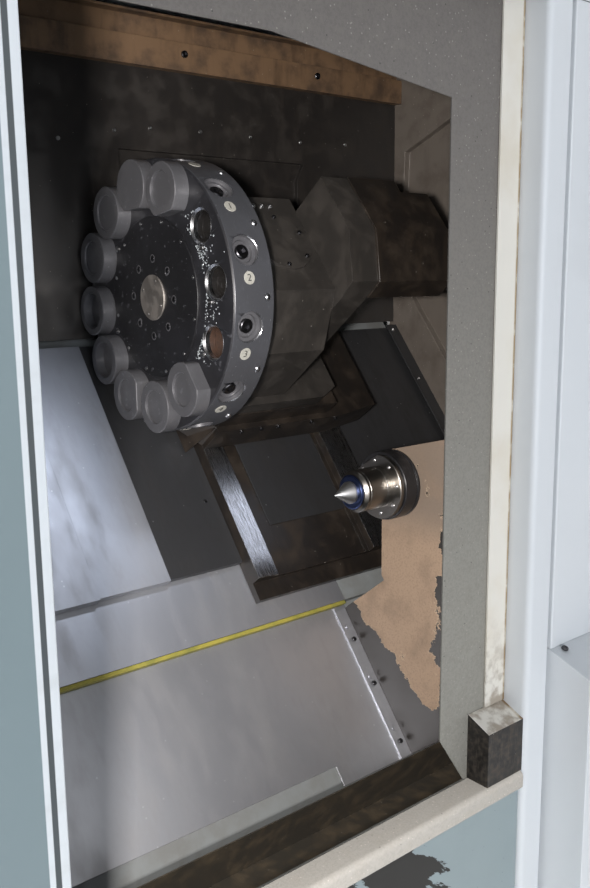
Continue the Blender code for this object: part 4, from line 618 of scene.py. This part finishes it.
def make_rim_sockets():
    """Counterbores of the clamping screws: the mouth follows the rim, h(v) = sqrt(R^2 - (r cos v)^2)."""
    liners, mouths, screws = [], [], []
    turn = np.linspace(0, 2 * math.pi, 64, endpoint=False)
    for angle in STATIONS:
        way = radial(angle - SOCKET_LAG)
        side = np.cross(ALONG, way)
        rows = []
        mouth = ((SOCKET_RADIUS + 0.0010, -0.0001), (SOCKET_RADIUS - 0.0004, 0.0012), (SOCKET_RADIUS - 0.0005, 0.006))
        for radius, depth in mouth:
            across = radius * np.cos(turn)
            height = np.sqrt(DISC_RADIUS ** 2 - across ** 2) - depth
            place = (SOCKET_X + radius * np.sin(turn))[:, None] * ALONG
            rows.append(TURRET + place + across[:, None] * side + height[:, None] * way)
        mouths.append(gridded(np.array(rows[:2])))
        rows = rows[1:]
        seat = ((SOCKET_RADIUS - 0.0005, 0.0085), (0.0205, 0.0085), (0.0200, 0.0092),
                (0.0195, SEAT_DEPTH), (0.0, SEAT_DEPTH))
        for radius, depth in seat:
            ring = radius * (np.cos(turn)[:, None] * side + np.sin(turn)[:, None] * ALONG)
            rows.append(TURRET + SOCKET_X * ALONG + ring + (DISC_RADIUS - depth) * way)
        liners.append(gridded(np.array(rows)))
        screws.append((TURRET + SOCKET_X * ALONG + (DISC_RADIUS - SEAT_DEPTH) * way, way))
    dressed(joined("rim_socket_liners", liners, PLUG_STEEL), "turret")
    dressed(joined("rim_socket_mouths", mouths, STEEL), "turret")
    heads("rim_clamp_screws", screws, 0.0125, 0.0060, "turret", SCREW_BLACK, 48)


def lettered(name, words, spot, way):
    """Plain raised ink figures from Blender's own font, which a surface formula can't give."""
    curve = bpy.data.curves.new(name, "FONT")
    curve.body = words
    curve.size = 0.017 if len(words) < 2 else 0.013
    curve.align_x, curve.align_y = "CENTER", "CENTER"
    curve.extrude = 0.00005
    item = bpy.data.objects.new(name, curve)
    bpy.context.scene.collection.objects.link(item)
    place = Matrix((ALONG, np.cross(way, ALONG), way)).transposed().to_4x4()
    mesh = bpy.data.meshes.new_from_object(item.evaluated_get(bpy.context.evaluated_depsgraph_get()))
    mesh.transform(Matrix.Translation(spot) @ place)
    mesh.materials.clear()
    mesh.materials.append(INK)
    bpy.data.objects.remove(item)
    item = bpy.data.objects.new(name, mesh)
    bpy.context.scene.collection.objects.link(item)
    dressed(item, "turret")


def make_rim_discs():
    """Printed white station discs, let into the rim, with plain station numbers."""
    grids, balls, seats = [], [], []
    for at, angle in enumerate(STATIONS):
        way = radial(angle)
        spot = TURRET + (DISC_LEFT + 0.034) * ALONG + (DISC_RADIUS - 0.0002) * way
        grids.append(revolved([(-0.001, 0.0112), (0.0006, 0.0112), (0.0009, 0.0108), (0.0009, 0.0)], spot, way, 40))
        lettered(f"station_number_{at + 1}", str((at - 9) % 12 + 1), spot + 0.00095 * way, way)
        way = radial(angle + math.radians(7.5))
        spot = TURRET + (DISC_LEFT + 0.070) * ALONG + (DISC_RADIUS - 0.0012) * way
        balls.append((spot, way, 1.0))
        seats.append(revolved([(0.0006, 0.0092), (0.0016, 0.0090), (0.0016, 0.0075), (-0.001, 0.0068)], spot, way, 32))
    dressed(joined("station_number_discs", grids, DISC_WHITE), "turret")
    domes("coolant_nozzle_balls", balls, 0.0066, 0.0052, "turret", STEEL, 28, 8)
    dressed(joined("coolant_nozzle_seats", seats, RIM_STEEL), "turret")


# Closing plugs: angle of the flat's normal in degrees, or None, then the recess's radius and depth
PLUGS = {
    0: (142, 0.030, 0.0045), 1: (None, 0.031, 0.0045), 2: (180, 0.031, 0.0045), 3: (None, 0.035, 0.019),
    4: (None, 0.035, 0.019), 5: (None, 0.033, 0.004), 6: (None, 0.033, 0.004), 7: (268, 0.0, 0.0),
    8: (262, 0.033, 0.0045)}
PLUG_RADIUS, PLUG_FLAT, PLUG_THICKNESS = 0.0488, 0.0402, 0.0282


def make_plugs():
    """Bolted plugs: P(u, v) = centre - h(u) along + r(u) s(v) ring, with s = min(R, flat / cos(v - turn)) / R."""
    grids = []
    for at, (flat, recess, depth) in PLUGS.items():
        top, floor, chamfer = PLUG_THICKNESS, PLUG_THICKNESS - depth, 0.0012
        profile = [(-0.0005, PLUG_RADIUS), (top - chamfer, PLUG_RADIUS), (top, PLUG_RADIUS - chamfer)]
        if recess:
            profile += [(top, recess + chamfer), (top - chamfer, recess), (floor, recess)]
            profile += [(floor - 0.0006, recess - 0.004), (floor, 0.0)]
        else:
            profile += [(top, 0.030), (top - 0.0003, 0.0295), (top - 0.0003, 0.0)]

        def shape(row, turn, flat=flat):
            if flat is None or row > 3:
                return np.ones(len(turn))
            facing = np.cos(turn - flat_turn)
            return np.minimum(1.0, np.where(facing > 0.1, PLUG_FLAT / PLUG_RADIUS / np.maximum(facing, 0.1), 1.0))

        spot = turret_point(DISC_LEFT, STATION_RADIUS + 0.003, STATIONS[at])
        flat_turn = 0.0
        if flat is not None:
            _, side, up = frame_of(-ALONG)
            normal = radial(math.radians(flat))
            flat_turn = math.atan2(normal @ up, normal @ side)
        grids.append(revolved(profile, spot, -ALONG, 96, shape))
    dressed(joined("station_plugs", grids, PLUG_STEEL), "turret")


def make_face_plate():
    """Turned cover plate, its hub disc and their screws."""
    front = DISC_LEFT - 0.0043
    profile = [(DISC_LEFT - 0.0003, 0.1476), (front + 0.0008, 0.1476), (front, 0.1468), (front, 0.0)]
    plate = joined("face_plate", [revolved(softened(profile, 0.0003), TURRET, ALONG, 192)], PLATE_STEEL)
    dressed(plate, "turret", ["turret_face_cover"])
    profile = [(front, 0.042), (front - 0.0022, 0.042), (front - 0.003, 0.0412), (front - 0.003, 0.0)]
    dressed(joined("hub_disc", [revolved(profile, TURRET, ALONG, 96)], HUB_STEEL), "turret")
    rim = [(turret_point(front, 0.1395, math.radians(15 + 30 * k)), -ALONG) for k in range(12)]
    heads("face_plate_screws", rim, 0.0033, 0.0012, "turret", SCREW_BRIGHT)
    rings, bolts = [], []
    for k in range(8):
        spot = turret_point(front, 0.0712, math.radians(2 + 45 * k))
        ring = [(0.0001, 0.0078), (0.0005, 0.0070), (0.0005, 0.0062), (-0.0002, 0.0060)]
        rings.append(revolved(ring, spot, -ALONG, 32))
        bolts.append((spot, -ALONG))
    for angle in (138, 318):
        spot = turret_point(front, 0.066, math.radians(angle))
        ring = [(0.0001, 0.0050), (0.0004, 0.0045), (0.0004, 0.0036), (-0.0002, 0.0032)]
        rings.append(revolved(ring, spot, -ALONG, 24))
    dressed(joined("bolt_counterbores", rings, PLUG_STEEL), "turret")
    heads("hub_bolts", bolts, 0.0052, 0.0012, "turret", SCREW_BLACK)
    tiny = [(turret_point(front - 0.003, 0.0335, math.radians(25 + 90 * k)), -ALONG) for k in range(4)]
    heads("hub_disc_screws", tiny, 0.0022, 0.0008, "turret", SCREW_BRIGHT)
    clamps = []
    for at in OPEN_STATIONS:
        clamps.append((turret_point(DISC_LEFT, 0.183, STATIONS[at] + math.radians(9.8)), -ALONG))
    for at in (3, 5, 7):
        clamps.append((turret_point(DISC_LEFT, 0.160, STATIONS[at] + math.radians(13)), -ALONG))
    heads("face_clamp_screws", clamps, 0.0058, 0.0035, "turret", SCREW_BRIGHT)


def make_drops():
    """Coolant drops that cling to the disc's face, most of them round the open bores."""
    chance = np.random.default_rng(7)
    drops = []
    while len(drops) < 170:
        at = OPEN_STATIONS[chance.integers(3)]
        angle = STATIONS[at] + chance.normal(0.12, 0.16)
        radius = 0.166 + abs(chance.normal(0.0, 0.022))
        if radius < 0.151 or radius > 0.244:
            continue
        here = turret_point(0, radius, angle)
        away = [np.linalg.norm(here - turret_point(0, STATION_RADIUS, station)) for station in STATIONS]
        near = int(np.argmin(away))
        if away[near] < (0.034 if near in OPEN_STATIONS else 0.052):
            continue
        drops.append((turret_point(DISC_LEFT, radius, angle), -ALONG, chance.uniform(0.35, 1.15)))
    # The drops' pale grey is painted glint.
    domes("coolant_drops", drops, 0.0019, 0.0011, "turret", GLINT_PAINTED_DROP, 10, 4)


def make_live_centre():
    """Turned live centre: point, blued ring, body, flange with a flat, and the quill's collar."""
    count = 128
    point = [(0.355, 0.0), (0.3557, 0.0004), (0.3905, 0.0209), (0.3957, 0.0209), (0.3957, 0.0)]
    item = joined("centre_point", [revolved(point, SPINDLE, ALONG, count)], POINT_STEEL)
    dressed(item, "centre_point", ["live_centre_point"])
    ring = [(0.3962, 0.0), (0.3962, 0.0295), (0.3968, 0.0300), (0.3972, 0.0325), (0.398, 0.033)]
    dressed(joined("blued_ring", [revolved(ring, SPINDLE, ALONG, count)], BLUED), "quill")
    body = [(0.398, 0.033), (0.4005, 0.0338), (0.405, 0.0382), (0.4062, 0.0398), (0.411, 0.0400), (0.4115, 0.0392),
            (0.4125, 0.0392), (0.413, 0.0400), (0.452, 0.0400), (0.4528, 0.0392), (0.4545, 0.0392), (0.4552, 0.0400),
            (0.4665, 0.0400)]
    grids = [revolved(softened(body, 0.0005), SPINDLE, ALONG, count)]
    _, side, up = frame_of(ALONG)
    normal = radial(math.radians(57.6))
    turn_at = math.atan2(normal @ up, normal @ side)

    def flat(row, turn):
        facing = np.maximum(np.cos(turn - turn_at), 0.1)
        return np.minimum(1.0, np.where(np.cos(turn - turn_at) > 0.1, 0.0527 / 0.062 / facing, 1.0))

    flange = [(0.4662, 0.036), (0.4662, 0.0612), (0.467, 0.062), (0.4755, 0.062), (0.4762, 0.0612), (0.4762, 0.030)]
    grids.append(revolved(flange, SPINDLE, ALONG, count, flat))
    item = joined("live_centre_shell", grids, CENTRE_STEEL)
    dressed(item, "quill", ["live_centre_body"])
    collar = [(0.4766, 0.0), (0.4766, 0.0648), (0.4778, 0.066), (0.5047, 0.066), (0.5052, 0.0635), (0.5085, 0.0635),
              (0.509, 0.066), (0.5145, 0.066), (0.5147, 0.0498), (0.795, 0.0498), (0.797, 0.048), (0.797, 0.0)]
    item = joined("quill_sleeve", [revolved(softened(collar, 0.0006), SPINDLE, ALONG, count)], PLATE_STEEL)
    dressed(item, "quill", ["quill"])
    spots = []
    for k in range(8):
        angle = math.radians(80 + 45 * k)
        spots.append((SPINDLE + 0.4662 * ALONG + 0.0508 * radial(angle), -ALONG))
    heads("flange_screws", spots, 0.0036, 0.0016, "quill", SCREW_BRIGHT)


def bed_heads(name, spots, normal, radius, height, body, paint):
    heads(name, [(bed(*spot), normal) for spot in spots], radius, height, body, paint)


def slotted(item, spots, across, normal, length, width, depth):
    """Louvre slots: each outline is c + (r cos v + sign(cos v) b) across + r sin v up, b being half its straight."""
    across, normal = np.array(across, float), np.array(normal, float)
    up = np.cross(normal, across)
    turn = np.linspace(0, 2 * math.pi, 24, endpoint=False) + math.pi / 24
    radius, half = width / 2, (length - width) / 2
    reach = radius * np.cos(turn) + half * np.sign(np.cos(turn))
    outline = reach[:, None] * across + (radius * np.sin(turn))[:, None] * up
    grids = []
    for spot in spots:
        rows = [spot + 0 * outline + 0.004 * normal, spot + outline + 0.004 * normal, spot + outline - depth * normal,
                spot + 0 * outline - depth * normal]
        grids.append(gridded(np.array(rows)))
    settled = bpy.data.meshes.new_from_object(item.evaluated_get(bpy.context.evaluated_depsgraph_get()))
    item.modifiers.clear()
    item.data = settled
    return carved(item, joined("slot_tool", grids, VENT))


def make_outer_details():
    """Louvres of the rear and left side covers, and flush panel screws at the rear and both sides."""
    half_length, half_depth, pitch = 1.3, 0.84, 0.024
    rear = refined("rear_cover", 0.004)
    spots = [np.array((x, half_depth, 0.42 + pitch * k)) for x in (-0.80, 0.80) for k in range(14)]
    slotted(rear, spots, (1, 0, 0), (0, 1, 0), 0.34, 0.009, 0.012)
    left = refined("side_cover_left", 0.004)
    spots = [np.array((-half_length, 0.35, 0.40 + pitch * k)) for k in range(18)]
    slotted(left, spots, (0, 1, 0), (-1, 0, 0), 0.40, 0.009, 0.012)
    heights = (0.16, 1.70)
    screws = [((x, half_depth, z), (0.0, 1.0, 0.0)) for x in (-1.20, -0.60, 0.0, 0.60, 1.20) for z in heights]
    for y in (-0.62, 0.07, 0.76):
        for z in heights:
            screws += [((way * half_length, y, z), (way, 0.0, 0.0)) for way in (-1.0, 1.0)]
    flush = [(np.array(spot) - 0.0002 * np.array(way), np.array(way)) for spot, way in screws]
    heads("panel_screws", flush, 0.0075, 0.00015, "machine", SCREW_BRIGHT)


def make_bed_fittings():
    """Screw heads on the slide, the covers, the sheets, the beam, the back panel and the cabinet."""
    down = -UP_BED
    slide_front = [(x, 0.2460, -0.181) for x in (0.3634, 0.415, 0.4602, 0.5531, 0.6229)]
    bed_heads("wiper_screws", slide_front, down, 0.0045, 0.0028, "slide", SCREW_BLACK)
    near = [(0.2735, 0.1443, -0.2682)]
    bed_heads("near_cover_screws", near, OUT_BED, 0.0042, 0.0004, "carriage", SCREW_BLACK)
    strip = [(0.4998, y, -0.2936) for y in (-0.2115, -0.3087, -0.4318)]
    bed_heads("end_strip_screws", strip, OUT_BED, 0.0050, 0.0030, "machine", SCREW_BLACK)
    lid = [(1.035, y, -0.2555) for y in (0.3632, 0.5185, 0.1801, 0.04)]
    bed_heads("wall_strip_screws", lid, OUT_BED, 0.0045, 0.0020, "machine", SCREW_BRIGHT)
    facing = np.array((0.0, -1.0, 0.0))
    beam = [((x, 0.2620, 1.8600), facing) for x in (0.3977, 0.7697, 0.02)]
    heads("beam_bolts", beam, 0.0075, 0.0045, "machine", SCREW_BLACK)
    back = [((x, 0.2850, z), facing) for x, z in (
        (0.1100, 1.6700), (0.3213, 1.7069), (0.4490, 1.7100), (0.5862, 1.7100), (0.7352, 1.7100), (0.8806, 1.7150),
        (0.2355, 1.6956), (-0.05, 1.70), (-0.20, 1.70))]
    heads("back_panel_screws", back, 0.0042, 0.0020, "machine", SCREW_BRIGHT)
    ledge = [((0.4150, -0.7139, 0.8330), np.array((0.0, -0.36, 0.93)))]
    heads("cabinet_screw", ledge, 0.0055, 0.0025, "machine", SCREW_BLACK)
    boss = []
    for k in range(6):
        angle = math.radians(20 + 60 * k)
        boss.append((0.36 + 0.057 * math.cos(angle), TURRET_UP + 0.057 * math.sin(angle), 0.166))
    bed_heads("boss_screws", boss, OUT_BED, 0.0042, 0.0028, "slide", SCREW_BLACK)
    row = [(x, TURRET_UP + 0.088, 0.160) for x in (0.340, 0.360, 0.380)]
    bed_heads("housing_row_screws", row, OUT_BED, 0.0048, 0.0030, "slide", SCREW_BRIGHT)


make_disc()
make_bore_liners()
make_rim_sockets()
make_rim_discs()
make_plugs()
make_face_plate()
make_drops()
make_live_centre()
make_bed_fittings()
make_outer_details()

# The near covers and the centre cover take the darker sheet, whose darkness is painted shade.
for node in ("way_cover_left_near", "way_cover_right_near", "way_cover_right_fixed", "centre_cover"):
    refined(node, 0.0006, SHADED_COVER_STEEL)
refined("door_frame", 0.004, SHADED_DOOR_PAINT)
refined("sill", 0.0015, SILL)
for node, width in (
        ("base_casting", 0.006), ("slant_bed", 0.004), ("chip_trough", 0.0), ("lower_slope_sheet", 0.0006),
        ("sheet_end_strip", 0.0004), ("middle_slope_sheet", 0.0006), ("seam_seal", 0.0015), ("top_beam", 0.001),
        ("front_lower_panel", 0.003), ("front_panel_left", 0.004), ("front_panel_right", 0.004),
        ("lower_cabinet", 0.003), ("jamb_trim", 0.001), ("roof_cover", 0.006), ("side_cover_right", 0.004),
        ("door_rail", 0.002), ("headstock", 0.006), ("spindle_motor", 0.002), ("belt_guard", 0.004),
        ("door_window", 0.0005), ("door_handle", 0.0), ("spindle_shaft", 0.0), ("chuck_body", 0.0005),
        ("chuck_jaw_1", 0.0006), ("chuck_jaw_2", 0.0006), ("chuck_jaw_3", 0.0006),
        ("way_cover_left_middle", 0.0006), ("way_cover_left_far", 0.0006), ("cross_slide", 0.0012),
        ("turret_housing", 0.002), ("turret_motor_cover", 0.0015), ("control_box", 0.0), ("control_screen", 0.001),
        ("handwheel", 0.0015), ("mode_knob", 0.0015), ("emergency_button", 0.0015), ("tailstock_body", 0.003),
        ("levelling_foot_1", 0.0015), ("levelling_foot_2", 0.0015), ("levelling_foot_3", 0.0015),
        ("levelling_foot_4", 0.0015), ("inner_wall_left", 0.001), ("splash_frame", 0.0008)):
    refined(node, width)
refined("back_panel", 0.001, BACK)

# The block at the foot of the jamb post is sooty, with a cream top
BLOCK_RIGHT, BLOCK_LOW, BLOCK_TOP = 0.334, 0.64, 0.76
corner = refined("jamb_post", 0.0012)
corner.data.materials.append(SOOT)
corner.data.materials.append(CREAM)
for face in corner.data.polygons:
    x, _, z = face.center
    if x < BLOCK_RIGHT and BLOCK_LOW < z < BLOCK_TOP:
        face.material_index = 2 if face.normal[2] > 0.8 else 1

# The box ways stand above the rest of the saddle, and their faces are ground bright
WAY_LEVEL = -0.2545
ways = refined("saddle", 0.0006)
ways.data.materials.append(STEEL)
for face in ways.data.polygons:
    level = (np.array(face.center) - SPINDLE) @ OUT_BED
    if level > WAY_LEVEL and np.array(face.normal) @ OUT_BED > 0.3:
        face.material_index = 1
refined("inner_wall_right", 0.002, WALL)

# Floor, light and camera
FLOOR = plain("pale_studio_floor", "dcdcda", 0.6)
FLOOR_REACH = 4.0
ends = (-FLOOR_REACH, FLOOR_REACH)
floor = joined("studio_floor", [gridded(np.array([[(x, y, -0.001) for x in ends] for y in ends]), False)], FLOOR)

world = bpy.data.worlds.new("white_studio")
bpy.context.scene.world = world
world.use_nodes = True
tree = world.node_tree
tree.nodes.clear()
# White to the camera, to mirrors and through glass; a grey fill for the rest
path = add(tree, "ShaderNodeLightPath").outputs
seen = path["Is Camera Ray"]
for ray in ("Is Glossy Ray", "Is Transmission Ray"):
    seen = add(tree, "ShaderNodeMath", {0: seen, 1: path[ray]}, operation="MAXIMUM").outputs[0]
sky = mixed(tree, seen, linear("8c9096"), (1.0, 1.0, 1.0, 1.0))
shade = add(tree, "ShaderNodeBackground", {"Color": sky, "Strength": 1.0})
add(tree, "ShaderNodeOutputWorld", {"Surface": shade.outputs[0]})


def lamp(name, spot, target, size, power, colour, length=None, along=(0, 0, 1)):
    """A soft light that faces its target: a square, or a strip whose length lies along a world direction."""
    light = bpy.data.lights.new(name, "AREA")
    light.size = size
    if length is not None:
        light.shape = "RECTANGLE"
        light.size_y = length
    light.energy = power
    light.color = linear(colour)[:3]
    item = bpy.data.objects.new(name, light)
    item.location = spot
    back = (Vector(spot) - Vector(target)).normalized()
    side = Vector(along).cross(back).normalized()
    item.rotation_euler = Matrix((side, back.cross(side), back)).transposed().to_euler()
    bpy.context.scene.collection.objects.link(item)
    return item


key = lamp("key", (-0.88, -1.48, 1.40), (0.10, 0.06, 1.08), 0.07, 64, "fff9f4")
roof_glow = lamp("roof_glow", (0.20, -0.55, 1.86), (0.03, 0.12, 1.05), 0.12, 0.65, "dfe8f8", 0.30, (1, 0, 0))
way_glow = lamp("way_glow", (1.00, -0.47, 1.77), (0.34, 0.01, 0.95), 0.12, 0.014, "e8eeff", 0.46, UP_BED)
lamp("front_fill", (-1.2, -3.8, 1.3), (0.3, -0.7, 0.9), 2.0, 75, "f4f8ff")
lamp("back_fill", (0.5, 4.2, 3.2), (0.0, 0.5, 1.0), 3.0, 160, "f6f8ff")
lamp("left_fill", (-4.4, 0.6, 2.6), (-1.0, 0.0, 1.0), 3.0, 120, "f6f8ff")
lamp("right_fill", (4.4, 0.2, 2.6), (1.0, 0.0, 1.0), 3.0, 90, "f6f8ff")
for light, spread in ((roof_glow, 50), (way_glow, 27)):
    light.data.spread = math.radians(spread)


def limited(light, nodes, state):
    """Keeps a lamp off the named skins, or gives it to them alone."""
    group = bpy.data.collections.new(light.name + "_group")
    for node in nodes:
        group.objects.link(bpy.data.objects[node + "_skin"])
    light.light_linking.receiver_collection = group
    for member in group.collection_objects:
        member.light_linking.link_state = state


# The close key would burn out the pale skins beside it, so the wide fills light those
limited(key, ("door_frame", "front_lower_panel", "front_panel_left", "front_panel_right", "lower_cabinet", "jamb_trim",
              "jamb_post", "splash_frame", "door_rail", "roof_cover", "control_box", "door_handle"), "EXCLUDE")
# Openings above the machine that only the steel below mirrors
limited(roof_glow, ("way_cover_left_middle", "way_cover_left_far", "middle_slope_sheet"), "INCLUDE")
limited(way_glow, ("saddle",), "INCLUDE")

YAW, PITCH, ROLL = math.radians(39.49), math.radians(10.38), math.radians(0.65)
forward = Vector((math.sin(YAW) * math.cos(PITCH), math.cos(YAW) * math.cos(PITCH), -math.sin(PITCH)))
level = Vector((math.cos(YAW), -math.sin(YAW), 0.0))
fall = forward.cross(level)
right = math.cos(ROLL) * level + math.sin(ROLL) * fall
down = math.cos(ROLL) * fall - math.sin(ROLL) * level
lens = bpy.data.cameras.new("camera")
lens.sensor_fit = "VERTICAL"
lens.sensor_height = 36
lens.lens = 37.58
lens.clip_start = 0.01
camera = bpy.data.objects.new("camera", lens)
place = Matrix.Translation((-0.75, -1.485, 1.40))
camera.matrix_world = place @ Matrix((right, -down, -forward)).transposed().to_4x4()
bpy.context.scene.collection.objects.link(camera)
bpy.context.scene.camera = camera
bpy.context.scene.view_settings.view_transform = "Standard"
